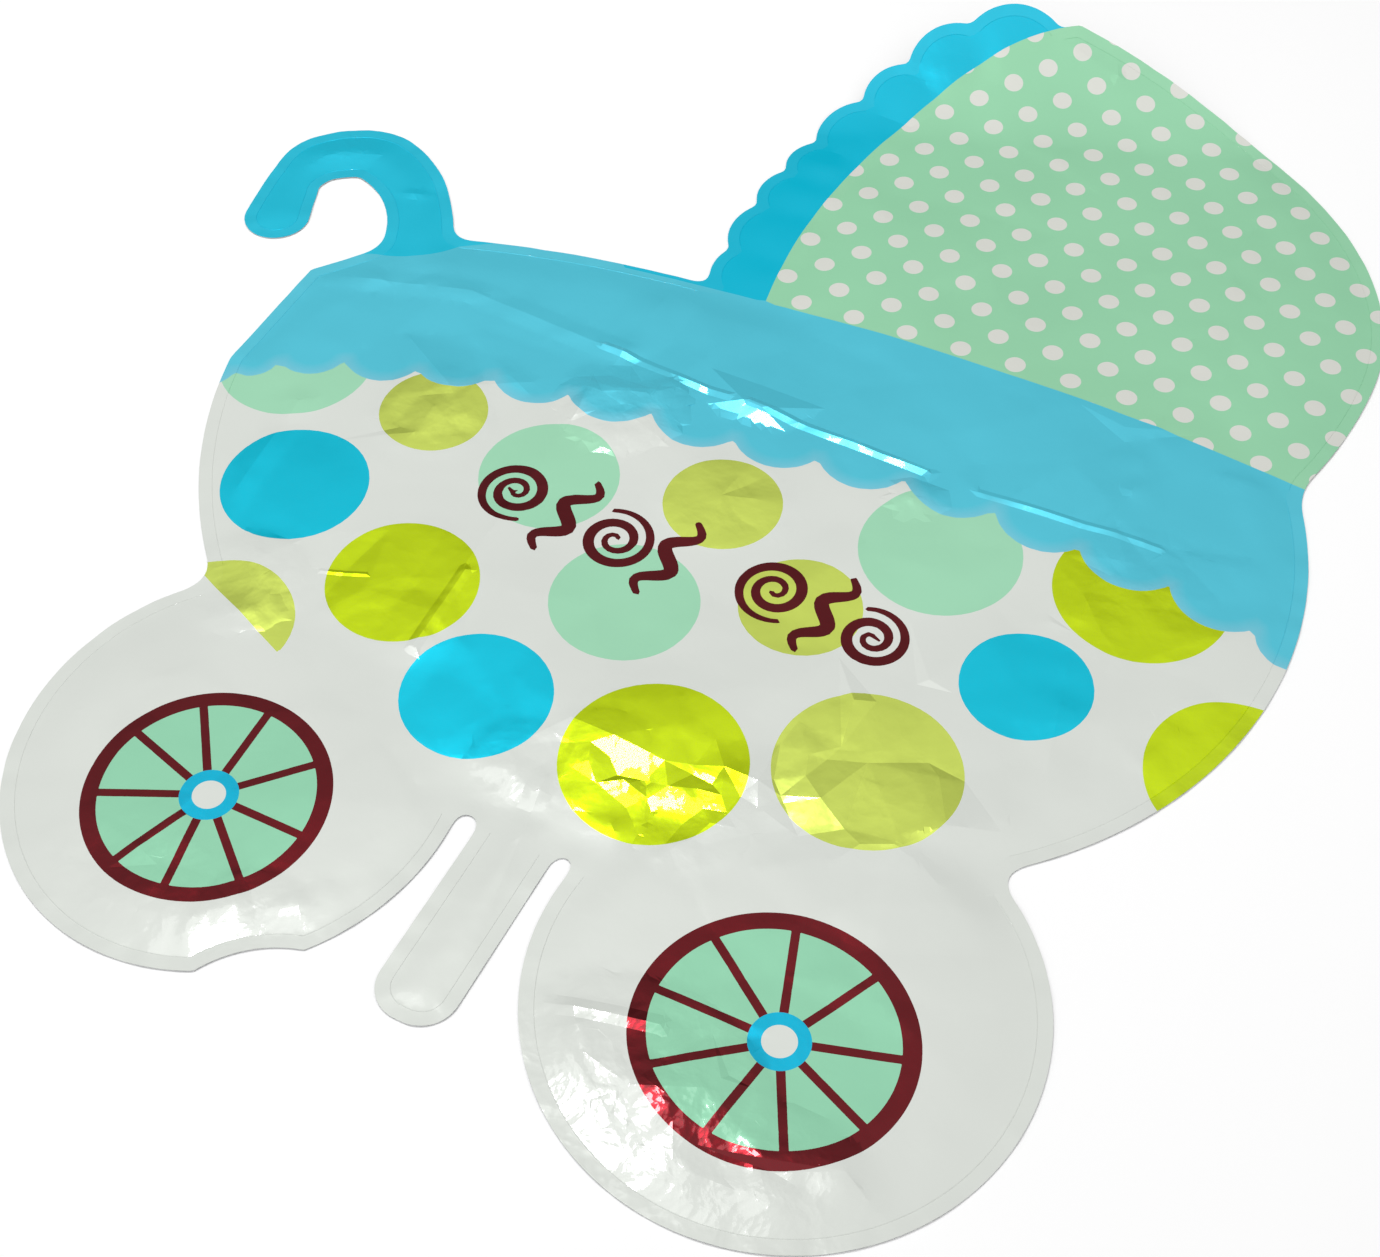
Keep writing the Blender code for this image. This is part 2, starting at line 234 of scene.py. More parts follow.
def hood_depth(x, y):
    """Hood and the scallops of its trim."""
    dome_height = np.where(y > HOOD_CENTRE[1], HOOD_HEIGHT, HOOD_DROP)
    dome = ellipse(x, y, HOOD_CENTRE, HOOD_HALF_LENGTH, dome_height)
    depth = np.minimum.reduce((dome, opening_depth(x, y), y - HOOD_FOOT_Y))
    for centre, radius in TRIM_DISCS:
        scallop = np.minimum(disc(x, y, centre, radius), y - HOOD_FOOT_Y)
        depth = joined(depth, scallop, SCALLOP_FILLET)
    return depth


def carriage_depth(x, y):
    """Distance inside the balloon's rim."""
    rear_lobe = np.minimum(ellipse(x, y, *REAR_LOBE), -disc(x, y, *TUCK))
    depth = joined(tub_depth(x, y), neck_depth(x, y), SLOT_FILLET)
    for lobe in (rear_lobe, ellipse(x, y, *FRONT_LOBE)):
        fillet = np.where(np.abs(x - NECK_X) < SLOT_REACH, SLOT_FILLET, LOBE_FILLET)
        depth = joined(depth, lobe, fillet)
    depth = joined(depth, stroke(x, y, HANDLE_PATH), HANDLE_FILLET)
    return joined(depth, hood_depth(x, y), HOOD_FILLET)


# %% [markdown]
# ## Round the rim
#
# The rim is where the depth is zero. A point is pulled onto it along the slope of the depth, and
# a walk of short steps round the shape, each pulled back onto the rim, gives the whole cut edge.
# The same pull to another depth gives the line of the seal, which runs inside the rim.

# %% Walk round the rim
WALK_STEP = 0.0050
LARGEST_MOVE = 0.0100
SLOPE_STEP = 0.0001
SMALLEST_SLOPE = 0.22
RIM_SPACING = 0.0022
SEAL_WIDTH = 0.0070
SEAL_TOLERANCE = 0.2
# Rounds of pulling a point onto a line: the first point, a step, the rim, the seal.
FIRST_PULLS, STEP_PULLS, RIM_PULLS, SEAL_PULLS = 8, 4, 3, 6
FEWEST_STEPS = 20
CLOSING_SHARE = 0.8


def depth_slope(x, y):
    """Gradient of the depth, by central differences."""
    step = SLOPE_STEP
    along_x = (carriage_depth(x + step, y) - carriage_depth(x - step, y)) / (2 * step)
    along_y = (carriage_depth(x, y + step) - carriage_depth(x, y - step)) / (2 * step)
    return along_x, along_y


def onto_rim(x, y, rounds, level=0.0):
    """Move points to the rim, or to another depth, along the slope of the depth."""
    for _ in range(rounds):
        along_x, along_y = depth_slope(x, y)
        gap = carriage_depth(x, y) - level
        move = gap / np.maximum(along_x ** 2 + along_y ** 2, SMALLEST_SLOPE ** 2)
        move = np.clip(move, -LARGEST_MOVE, LARGEST_MOVE)
        x, y = x - along_x * move, y - along_y * move
    return x, y


def length_so_far(path):
    """Length of a path up to each of its points."""
    return np.concatenate(([0.0], np.cumsum(np.hypot(*np.diff(path, axis=0).T))))


def points_at(places, travelled, path):
    """Points of a path at given lengths along it."""
    return np.column_stack([np.interp(places, travelled, path[:, axis]) for axis in (0, 1)])


def evenly_spaced(path, spacing):
    """Points of a closed path, one spacing apart, and the length of the path."""
    path = np.vstack((path, path[:1]))
    travelled = length_so_far(path)
    count = round(travelled[-1] / spacing)
    return points_at(np.arange(count) * travelled[-1] / count, travelled, path), travelled[-1]


def tree_of(points):
    """Search tree of flat points."""
    tree = KDTree(len(points))
    for index, point in enumerate(points):
        tree.insert((*point, 0.0), index)
    tree.balance()
    return tree


def walk_round():
    """Points of the rim, one walking step apart."""
    start = onto_rim(np.array([NECK_X]), np.array([NECK_END_Y]), FIRST_PULLS)
    path = [(float(start[0][0]), float(start[1][0]))]
    while len(path) < FEWEST_STEPS or math.dist(path[-1], path[0]) > CLOSING_SHARE * WALK_STEP:
        x, y = (np.array([value]) for value in path[-1])
        along_x, along_y = depth_slope(x, y)
        size = np.hypot(along_x, along_y)
        x = x + WALK_STEP * along_y / size
        y = y - WALK_STEP * along_x / size
        x, y = onto_rim(x, y, STEP_PULLS)
        path.append((float(x[0]), float(y[0])))
    return np.array(path)


rim, rim_length = evenly_spaced(walk_round(), RIM_SPACING)
rim = np.column_stack(onto_rim(*rim.T, RIM_PULLS))
middle = (rim.min(axis=0) + rim.max(axis=0)) / 2
rim_tree = tree_of(rim)
seal_line = np.column_stack(onto_rim(*rim.T, SEAL_PULLS, SEAL_WIDTH))
seal_gap = np.array([rim_tree.find((*point, 0.0))[2] for point in seal_line])
seal_line = seal_line[np.abs(seal_gap / SEAL_WIDTH - 1) < SEAL_TOLERANCE]
print(f"rim: {rim_length:.3f} m, {len(rim)} points, plan's middle {middle.round(4)}")
print(f"seal line: {len(seal_line)} points")

# %% [markdown]
# ## The print
#
# Each colour of the print is one printing plate. On the computer a plate is again a depth:
# positive where there is ink, negative where there is none. Stored on the mesh's points, it
# gives a razor-sharp edge wherever it crosses zero, because the material asks for its sign at
# every spot and not only at the points. Narrow lines, such as spokes, need points of their own
# along their edges and their middle, which are added to the mesh further down.

# %% Dots and wheels
LIME_DOTS = (
    ((-0.136, 0.154), 0.0400),
    ((0.032, 0.111), 0.0465),
    ((0.206, 0.319), 0.0460),
    ((0.285, 0.231), 0.0450),
)
PALE_LIME_DOTS = (
    ((-0.185, 0.266), 0.0300),
    ((0.126, 0.153), 0.0465),
    ((-0.013, 0.277), 0.0320),
    ((0.054, 0.231), 0.0320),
    ((-0.208, 0.089), 0.0410),
)
BLUE_DOTS = (
    ((-0.224, 0.187), 0.0400),
    ((-0.065, 0.108), 0.0385),
    ((0.175, 0.236), 0.0335),
)
MINT_DOTS = (
    ((-0.105, 0.253), 0.0380),
    ((-0.028, 0.194), 0.0390),
    ((0.103, 0.298), 0.0430),
    ((-0.276, 0.268), 0.0440),
)
LOBE_PRINT_LINE = ((-0.165, 0.085), -22.7)
REAR_WHEEL = {
    "ring": ((-0.1495, -0.0010), 0.0561, 0.0561),
    "ring_width": 0.0078,
    "hub": (-0.1482, -0.0010),
    "spokes": (0.7, 46.9, 91.7, 127.6, 164.6, 205.1, 249.8, 281.9, 320.5),
}
FRONT_WHEEL = {
    "ring": ((0.1470, 0.0047), 0.0612, 0.0579),
    "ring_width": 0.0086,
    "hub": (0.1500, 0.0040),
    "spokes": (17.5, 62.4, 107.7, 145.3, 181.4, 218.6, 260.2, 297.4, 337.5),
}
WHEELS = (REAR_WHEEL, FRONT_WHEEL)
HUB_RADIUS = 0.0143
HUB_CENTRE_RADIUS = 0.0081
SPOKE_WIDTH = 0.0042
SPOKE_STEP = 0.0011
WHEEL_STEPS = 240
SPOKE_START_SHARE = 0.8


def any_of(x, y, dots):
    """Depth inside any dot of a plate."""
    return np.max([disc(x, y, *dot) for dot in dots], axis=0)


def wheel_paths(wheel):
    """Strokes of a wheel: its ring, and its spokes from the hub to the middle of the ring."""
    centre, across, up = wheel["ring"]
    turn = np.linspace(0.0, 2 * math.pi, WHEEL_STEPS)
    x, y = centre[0] + across * np.cos(turn), centre[1] + up * np.sin(turn)
    paths = [np.column_stack((x, y, np.full(WHEEL_STEPS, wheel["ring_width"] / 2)))]
    for angle in wheel["spokes"]:
        turn = math.radians(angle)
        reach = np.arange(SPOKE_START_SHARE * HUB_RADIUS, 2 * across, SPOKE_STEP)
        x = wheel["hub"][0] + reach * math.cos(turn)
        y = wheel["hub"][1] + reach * math.sin(turn)
        spoke = np.column_stack((x, y, np.full(len(reach), SPOKE_WIDTH / 2)))
        paths.append(spoke[ellipse(x, y, *wheel["ring"]) > 0])
    return paths


# %% [markdown]
# Two groups of curly strokes are printed across the body: spirals and upright waves, which
# aren't letters. A pen stroke swells in its middle and thins out at its ends, so each stroke
# is a path of circles whose radius follows half a sine wave.

# %% Curly strokes
SPIRAL_WIDTH = 0.0060
WAVE_WIDTH = 0.0080
STROKE_THIN_SHARE = 0.45
STROKE_STEP = 0.0011
SPIRAL_START_SHARE = 0.10
CURL_STEPS = 200
# Spirals, as (centre, outer radius, turns, last angle).
SPIRALS = (
    ((-0.1150, 0.2350), 0.0205, 2.40, -60.0),
    ((-0.0520, 0.2290), 0.0205, 2.40, 120.0),
    ((0.0375, 0.2350), 0.0205, 2.40, -60.0),
    ((0.0945, 0.2290), 0.0190, 2.30, 120.0),
)
# Waves, as (centre, length, swing, periods, heading).
WAVES = (
    ((-0.0830, 0.2320), 0.056, 0.0062, 2.0, 82.0),
    ((-0.0215, 0.2300), 0.056, 0.0062, 2.0, 82.0),
    ((0.0670, 0.2320), 0.056, 0.0056, 2.0, 82.0),
)


def brush(points, width):
    """Path of circles for a pen stroke that is thick in the middle."""
    swell = np.sin(np.linspace(0.0, math.pi, len(points)))
    radius = width / 2 * (STROKE_THIN_SHARE + (1 - STROKE_THIN_SHARE) * swell)
    return np.column_stack((points, radius))


def even_path(points, spacing):
    """Open path with its points one spacing apart."""
    travelled = length_so_far(points)
    places = np.linspace(0.0, travelled[-1], round(travelled[-1] / spacing) + 1)
    return points_at(places, travelled, points)


def spiral_path(centre, radius, turns, last_angle):
    """Spiral from near its centre to its outer radius."""
    share = np.linspace(SPIRAL_START_SHARE, 1.0, CURL_STEPS)
    angle = math.radians(last_angle) + 2 * math.pi * turns * (share - 1)
    points = np.column_stack((np.cos(angle), np.sin(angle))) * (radius * share)[:, None] + centre
    return brush(even_path(points, STROKE_STEP), SPIRAL_WIDTH)


def wave_path(centre, length, swing, periods, heading):
    """Upright line that swings to either side."""
    turn = math.radians(heading)
    along = np.linspace(-0.5, 0.5, CURL_STEPS)
    side = swing * np.sin(2 * math.pi * periods * along)
    x = centre[0] + along * length * math.cos(turn) - side * math.sin(turn)
    y = centre[1] + along * length * math.sin(turn) + side * math.cos(turn)
    return brush(even_path(np.column_stack((x, y)), STROKE_STEP), WAVE_WIDTH)


curl_strokes = [spiral_path(*spiral) for spiral in SPIRALS]
curl_strokes += [wave_path(*wave) for wave in WAVES]
maroon_lines = [path for wheel in WHEELS for path in wheel_paths(wheel)] + curl_strokes
print(f"thin lines of the print: {len(maroon_lines)}, {len(curl_strokes)} of them curly strokes")

# %% [markdown]
# The blue band across the body ends in scallops. They are circles through neighbouring cusps,
# as on the hood's trim. The ink fades out towards the scallops' edge, which the depth tells
# too: the closer to zero, the thinner the ink.

# %% Band, hood and handle
BAND_CUSPS = (
    (-0.3300, 0.2260),
    (-0.3020, 0.2440),
    (-0.2842, 0.2621),
    (-0.2511, 0.2789),
    (-0.2098, 0.2900),
    (-0.1700, 0.3048),
    (-0.1249, 0.3110),
    (-0.0764, 0.3174),
    (-0.0288, 0.3227),
    (0.0185, 0.3292),
    (0.0666, 0.3363),
    (0.1176, 0.3379),
    (0.1666, 0.3329),
    (0.2169, 0.3295),
    (0.2651, 0.3235),
    (0.2960, 0.3090),
)
BAND_SCALLOP_SHARE = 0.29
HOOD_PRINT_FOOT = ((0.0900, -1.2130), 1.6500)
TRIM_PRINT_FOOT = ((-0.1050, 0.4245), 6.7)
HANDLE_PRINT_FOOT = ((-0.2845, 0.3640), (-0.2440, 0.3915))
HANDLE_PRINT_BULGE = 0.0060
HANDLE_PRINT_REACH = 0.0300
TRIM_PRINT_LEFT = -0.15
LOBE_PRINT_RIGHT = -0.1
LINE_MARGIN = 0.01
FAR_OUTSIDE = -0.02
BAND_DISCS = [
    bulging_disc(end, start, BAND_SCALLOP_SHARE * math.dist(start, end))
    for start, end in zip(BAND_CUSPS, BAND_CUSPS[1:])
]


def band_depth(x, y):
    """Everything above the scallops. The hood and the handle are printed over it."""
    above = y - np.interp(x, *np.transpose(BAND_CUSPS))
    return np.maximum(above, any_of(x, y, BAND_DISCS))


def canopy_depth(x, y):
    """Spotted canopy: inside the trim, above the band."""
    return np.minimum(opening_depth(x, y), -disc(x, y, *HOOD_PRINT_FOOT))


def trim_depth(x, y):
    """Scalloped trim: left of the canopy, above the band."""
    above = -right_of_line(x, y, *TRIM_PRINT_FOOT)
    below_foot = disc(x, y, *HOOD_PRINT_FOOT)
    return np.minimum.reduce((above, -opening_depth(x, y), x - TRIM_PRINT_LEFT, -below_foot))


def handle_depth(x, y):
    """Handle, down to its foot on the body."""
    start, end = HANDLE_PRINT_FOOT
    heading = math.degrees(math.atan2(end[1] - start[1], end[0] - start[0]))
    above = -right_of_line(x, y, start, heading)
    bulge = disc(x, y, *bulging_disc(end, start, HANDLE_PRINT_BULGE))
    reach = stroke(x, y, HANDLE_PATH) + HANDLE_PRINT_REACH
    return np.minimum(np.maximum(above, bulge), reach)


def thin_lines(x, y, paths):
    """Depth inside any thin line. Only points near a line are measured."""
    depth = np.full(x.shape, FAR_OUTSIDE)
    for path in paths:
        low = path[:, :2].min(axis=0) - LINE_MARGIN
        high = path[:, :2].max(axis=0) + LINE_MARGIN
        near = (x > low[0]) & (x < high[0]) & (y > low[1]) & (y < high[1])
        depth[near] = np.maximum(depth[near], stroke(x[near], y[near], path))
    return depth


def plates(x, y):
    """All plates of the print at the given points."""
    wheels = [ellipse(x, y, *wheel["ring"]) for wheel in WHEELS]
    hubs = [(wheel["hub"], HUB_RADIUS) for wheel in WHEELS]
    hub_centres = [(wheel["hub"], HUB_CENTRE_RADIUS) for wheel in WHEELS]
    above_lobe = np.maximum(-right_of_line(x, y, *LOBE_PRINT_LINE), x - LOBE_PRINT_RIGHT)
    return {
        "rim_depth": carriage_depth(x, y),
        "crinkle": crinkle_share(x, y),
        "plate_mint": any_of(x, y, MINT_DOTS),
        "plate_lime": any_of(x, y, LIME_DOTS),
        "plate_pale_lime": np.minimum(any_of(x, y, PALE_LIME_DOTS), above_lobe),
        "plate_blue": any_of(x, y, BLUE_DOTS),
        "plate_wheel": np.max(wheels, axis=0),
        "plate_maroon": thin_lines(x, y, maroon_lines),
        "plate_hub": any_of(x, y, hubs),
        "plate_hub_centre": any_of(x, y, hub_centres),
        "plate_band": band_depth(x, y),
        "plate_canopy": canopy_depth(x, y),
        "plate_trim": trim_depth(x, y),
        "plate_handle": handle_depth(x, y),
    }


def store_plates(mesh, plan, sides):
    """Keep the plates on the points of a mesh that has one or both sides of a plan."""
    for name, depth in plates(*plan.T).items():
        layer = mesh.attributes.new(name, "FLOAT", "POINT")
        layer.data.foreach_set("value", np.tile(depth, sides).astype(np.float32))


# %% [markdown]
# ## How the film lies
#
# Film can't stretch, so it never gets soft bumps. It folds along straight ridges and breaks
# into small flat facets between them. The relief below is built from the same few causes as
# the real one: the flat seal, a little air left inside, the folds of the packet, crumpled
# places, and small puckers along the seal. The tip of the hood has curled off the table.

# %% Sizes of the relief
FILM_THICKNESS = 0.0002
FILM_GAP = 0.0001
AIR_HEIGHT = 0.0011
AIR_RUN = 0.0500
FREE_RUN = 0.0180
CURL_HEADING = 111.4
CURL_START = 0.5770
CURL_LENGTH = 0.1020
CURL_HEIGHT = 0.0370
CURL_POWER = 1.63
# Long folds, as (points, height, half width).
CREASES = (
    (((-0.3065, 0.3331), (-0.2162, 0.3600), (-0.1140, 0.3540)), 0.0010, 0.0100),
    (((-0.1270, 0.3545), (-0.0450, 0.3490)), 0.0016, 0.0034),
    (((-0.0330, 0.3500), (0.0000, 0.3485), (0.0750, 0.3465)), 0.0018, 0.0034),
    (((0.1050, 0.3455), (0.1400, 0.3480), (0.2050, 0.3515)), 0.0010, 0.0030),
    (((-0.1140, 0.4180), (-0.1140, 0.3540), (-0.1130, 0.1900), (-0.1100, 0.1220)), 0.0012, 0.0200),
    (((0.1700, 0.6620), (0.1740, 0.4400), (0.1850, 0.2750), (0.2035, 0.1870)), 0.0012, 0.0200),
    (((-0.2560, 0.2400), (-0.2480, 0.1500)), 0.0010, 0.0120),
    (((-0.1780, 0.1415), (-0.1550, 0.1495)), 0.0006, 0.0018),
    (((-0.1084, 0.1200), (-0.1103, 0.1740)), 0.0010, 0.0040),
    (((-0.3060, 0.4148), (-0.2680, 0.4279)), 0.0010, 0.0050),
    (((-0.0100, 0.0800), (0.0082, -0.0300)), 0.0012, 0.0080),
    (((0.0330, 0.7500), (0.0530, 0.7020)), 0.0018, 0.0050),
    (((-0.0200, 0.7150), (0.0530, 0.7020)), 0.0008, 0.0060),
    (((0.0300, -0.0300), (0.0700, -0.0200), (0.1000, -0.0130)), 0.0012, 0.0050),
)
# Facets that can be measured, as corners (x, y, height) in millimetres.
FACETS = (
    # The lime dot and the film round it.
    (-16, 116, 2.4), (8, 115, 3.5), (33, 134, 3.9), (51, 118, 2.4), (64, 123, 3.5),
    (82, 123, 3.4), (37, 113, 3.5), (12, 104, 1.2), (33, 100, 0.7), (20, 97, 0.0), (24, 95, 1.5),
    (13, 88, 0.7), (32, 83, 0.0), (0, 107, 2.2), (-10, 103, 1.2), (4, 97, 1.8), (-3, 91, 0.8),
    (45, 101, 2.4), (39, 92, 2.0), (44, 72, 1.2), (51, 92, 1.8), (52, 113, 1.4), (63, 112, 1.2),
    (78, 112, 1.1), (58, 106, 2.1), (70, 108, 1.9), (76, 101, 1.0), (65, 98, 0.8), (56, 96, 1.6),
    (72, 92, 1.7), (60, 86, 0.5), (68, 80, 1.2), (53, 80, 1.6), (58, 72, 0.6), (49, 64, 0.6),
    (84, 95, 1.2), (88, 110, 1.6), (30, 67, 0.6), (10, 74, 0.7), (-6, 80, 0.6), (-26, 120, 1.6),
    (-28, 98, 0.8), (-58, 128, 0.0), (-60, 90, 0.0), (-30, 60, 0.0), (10, 40, 0.0), (60, 30, 0.0),
    (100, 40, 0.0), (98, 78, 0.8), (58, 160, 2.6), (22, 165, 2.4), (-12, 146, 2.0),
    (-40, 180, 0.0), (10, 218, 0.0), (60, 222, 0.0), (53, 136, 3.3),
    # The pale lime dot in front of it.
    (98, 118, 0.6), (130, 117, 2.6), (113, 127, 3.7), (88, 128, 1.2), (95, 121, 0.8),
    (101, 136, 2.0), (97, 148, 1.8), (106, 150, 0.9), (109, 160, 0.8), (124, 157, 0.9),
    (150, 171, 0.4), (158, 165, 1.4), (170, 169, 0.5), (140, 112, 3.7), (158, 121, 4.3),
    (172, 140, 3.7), (134, 100, 2.9), (112, 104, 1.4), (160, 100, 2.9), (190, 120, 2.4),
    (196, 150, 1.6), (103, 188, 2.2), (113, 193, 0.9), (98, 183, 0.9), (84, 165, 1.2),
    (82, 148, 1.2), (140, 195, 0.6), (180, 190, 0.6), (130, 62, 1.0), (170, 62, 1.0),
    (220, 90, 0.0), (240, 140, 0.0), (225, 190, 0.0), (150, 240, 0.0), (110, 238, 0.0),
    (85, 210, 0.4),
    # A bright knot on the band's long fold.
    (-36, 349, 3.8), (-24, 348, 3.6), (-34, 337, 0.0), (-24, 338, 0.0), (-30, 366, 1.0),
    (-54, 340, 0.0), (-6, 340, 0.0), (-64, 366, 0.0), (6, 366, 0.0), (-30, 400, 0.0),
    # The rear pale lime dot.
    (-186, 286, 2.4), (-214, 262, 0.0), (-158, 264, 0.0), (-186, 242, 0.0), (-186, 320, 0.0),
)
FACET_CLEARANCE = 0.030
# Crumpled places, as (centre, radius, height).
CRUMPLES = (
    ((0.1000, -0.0720), 0.080, 0.0036),
    ((0.1750, -0.0800), 0.060, 0.0030),
    ((-0.0900, -0.0560), 0.034, 0.0018),
    ((-0.1600, -0.0640), 0.050, 0.0014),
    ((0.0640, 0.0900), 0.030, 0.0016),
    ((0.0050, 0.1000), 0.030, 0.0014),
    ((0.1260, 0.1450), 0.050, 0.0008),
    ((-0.0950, 0.3160), 0.036, 0.0050),
    ((-0.0800, 0.3310), 0.018, 0.0040),
    ((0.0770, 0.3260), 0.014, 0.0036),
    ((0.0570, 0.7320), 0.024, 0.0030),
    ((-0.0550, 0.6600), 0.026, 0.0018),
    ((-0.0280, 0.7420), 0.026, 0.0020),
    ((-0.0260, 0.0820), 0.026, 0.0020),
    ((-0.2080, 0.1180), 0.034, 0.0028),
    ((-0.1850, 0.2660), 0.036, 0.0016),
    ((-0.0130, 0.2790), 0.036, 0.0014),
    ((-0.1360, 0.1540), 0.046, 0.0008),
    ((0.2060, 0.3120), 0.050, 0.0012),
    ((0.2750, 0.2300), 0.045, 0.0012),
    ((-0.3600, 0.4400), 0.030, 0.0012),
)
CRUMPLE_SCALE = 0.0050
CRUMPLE_EDGE_POWER = 0.5
CREASE_EVENNESS = 0.4
# Nets of scattered folds, as (distance between corners, seed).
BROAD_NET = (0.0340, 11)
MIDDLE_NET = (0.0160, 12)
FINE_NET = (0.0075, 13)
CORNER_JITTER = 0.85
BROAD_HEIGHT = 0.0012
MIDDLE_HEIGHT = 0.0002
CRUMPLE_SHARES = (0.50, 0.38, 0.12)
SWELL_HEIGHT = 0.0010
SWELL_LENGTH = 0.150
SWELL_WAVES = 5
SHORTEST_SWELL_SHARE = 0.6
SWELL_SEED = 31
PUCKER_LENGTH = 0.009
PUCKER_HEIGHT = 0.0005
PUCKER_RUN = 0.014
PUCKER_KNOTS = 2000
PUCKER_SEED = 5


# %% Nets of folds
NET_MARGIN = 0.06
ABOVE_NETS = 2.0
ALL_TRIANGLES = 0
TRIANGLES_INSIDE = 1


class FoldNet:
    """Film folded along straight lines between corners of known height."""

    def __init__(self, corners, heights):
        corners = [Vector(corner) for corner in corners]
        flat, self.edges, faces, *_ = delaunay_2d_cdt(corners, [], [], ALL_TRIANGLES, TINY)
        self.corners = np.array([tuple(corner) for corner in flat])
        raised = [(*corner, height) for corner, height in zip(self.corners, heights)]
        self.tree = BVHTree.FromPolygons(raised, faces)

    def height(self, x, y):
        """Height of the net at each point."""
        down = Vector((0.0, 0.0, -1.0))
        hits = [self.tree.ray_cast(Vector((*place, ABOVE_NETS)), down) for place in zip(x, y)]
        return np.array([hit[0].z for hit in hits])

    def folds(self, spacing, wanted):
        """Fold lines that are wanted over their whole length, in steps of about one spacing."""
        lines = [even_path(self.corners[list(edge)], spacing) for edge in self.edges]
        keep = wanted(*np.vstack(lines).T)
        ends = np.cumsum([len(line) for line in lines])[:-1]
        return [line for line, kept in zip(lines, np.split(keep, ends)) if kept.all()]


def staggered_rows(spacing):
    """Staggered rows of points over the whole balloon and a little beyond."""
    low, high = rim.min(axis=0) - NET_MARGIN, rim.max(axis=0) + NET_MARGIN
    row = spacing * math.sqrt(3) / 2
    x, y = np.meshgrid(np.arange(low[0], high[0], spacing), np.arange(low[1], high[1], row))
    x = x + (np.arange(len(x)) % 2)[:, None] * spacing / 2
    return x.ravel(), y.ravel()


def scattered_net(spacing, seed):
    """Net between scattered corners of random height, 0 to 1."""
    chance = np.random.RandomState(seed)
    corners = np.column_stack(staggered_rows(spacing))
    corners += CORNER_JITTER * spacing * (chance.rand(*corners.shape) - 0.5)
    return FoldNet(corners, chance.rand(len(corners)))


def measured_net():
    """Net of the measured facets, with flat film around them."""
    facets = np.array(FACETS) / 1000
    x, y = staggered_rows(FACET_CLEARANCE)
    away = np.min(np.hypot(x - facets[:, :1], y - facets[:, 1:2]), axis=0)
    flat = np.column_stack((x, y))[away > FACET_CLEARANCE]
    heights = np.concatenate((facets[:, 2], np.zeros(len(flat))))
    return FoldNet(np.vstack((facets[:, :2], flat)), heights)


scattered_nets = [scattered_net(*net) for net in (BROAD_NET, MIDDLE_NET, FINE_NET)]
broad_net, middle_net, fine_net = scattered_nets
facet_net = measured_net()
print("corners of the nets:", [len(net.corners) for net in (*scattered_nets, facet_net)])


# %% Relief functions
def crinkle_share(x, y):
    """How crumpled the film is, from 0 to 1."""
    share = np.zeros(np.shape(x))
    for centre, radius, height in CRUMPLES:
        near = np.maximum(1 - np.hypot(x - centre[0], y - centre[1]) / radius, 0.0)
        share = np.maximum(share, near ** CRUMPLE_EDGE_POWER * height / CRUMPLE_SCALE)
    return np.minimum(share, 1.0)


def swell(x, y):
    """Slow waves from 0 to 1, a sum of ripples in several directions."""
    chance = np.random.RandomState(SWELL_SEED)
    total = np.zeros(x.shape)
    for turn, phase, stretch in chance.rand(SWELL_WAVES, 3):
        length = SWELL_LENGTH * (SHORTEST_SWELL_SHARE + stretch)
        along = x * math.cos(2 * math.pi * turn) + y * math.sin(2 * math.pi * turn)
        total += np.sin(2 * math.pi * (along / length + phase))
    return 0.5 + total / (2 * SWELL_WAVES)


def curl(x, y):
    """Height to which the tip of the hood has curled off the table."""
    turn = math.radians(CURL_HEADING)
    past = np.maximum(x * math.cos(turn) + y * math.sin(turn) - CURL_START, 0.0)
    return CURL_HEIGHT * (past / CURL_LENGTH) ** CURL_POWER


def line_distance(x, y, points):
    """Distance to an open line of points."""
    nearest = np.full(np.shape(x), 1.0)
    for start, end in zip(points, points[1:]):
        run = np.subtract(end, start)
        share = ((x - start[0]) * run[0] + (y - start[1]) * run[1]) / run.dot(run)
        share = np.clip(share, 0.0, 1.0)
        away = np.hypot(x - start[0] - share * run[0], y - start[1] - share * run[1])
        nearest = np.minimum(nearest, away)
    return nearest


def pucker(x, y, inside):
    """Small ripples that run across the seal and die out further in."""
    along = np.array([rim_tree.find((*point, 0.0))[1] for point in zip(x, y)]) * RIM_SPACING
    knots = np.random.RandomState(PUCKER_SEED).rand(PUCKER_KNOTS)
    ripple = np.interp(along / PUCKER_LENGTH, np.arange(PUCKER_KNOTS), knots)
    return PUCKER_HEIGHT * ripple * np.exp(-np.maximum(inside, 0.0) / PUCKER_RUN)


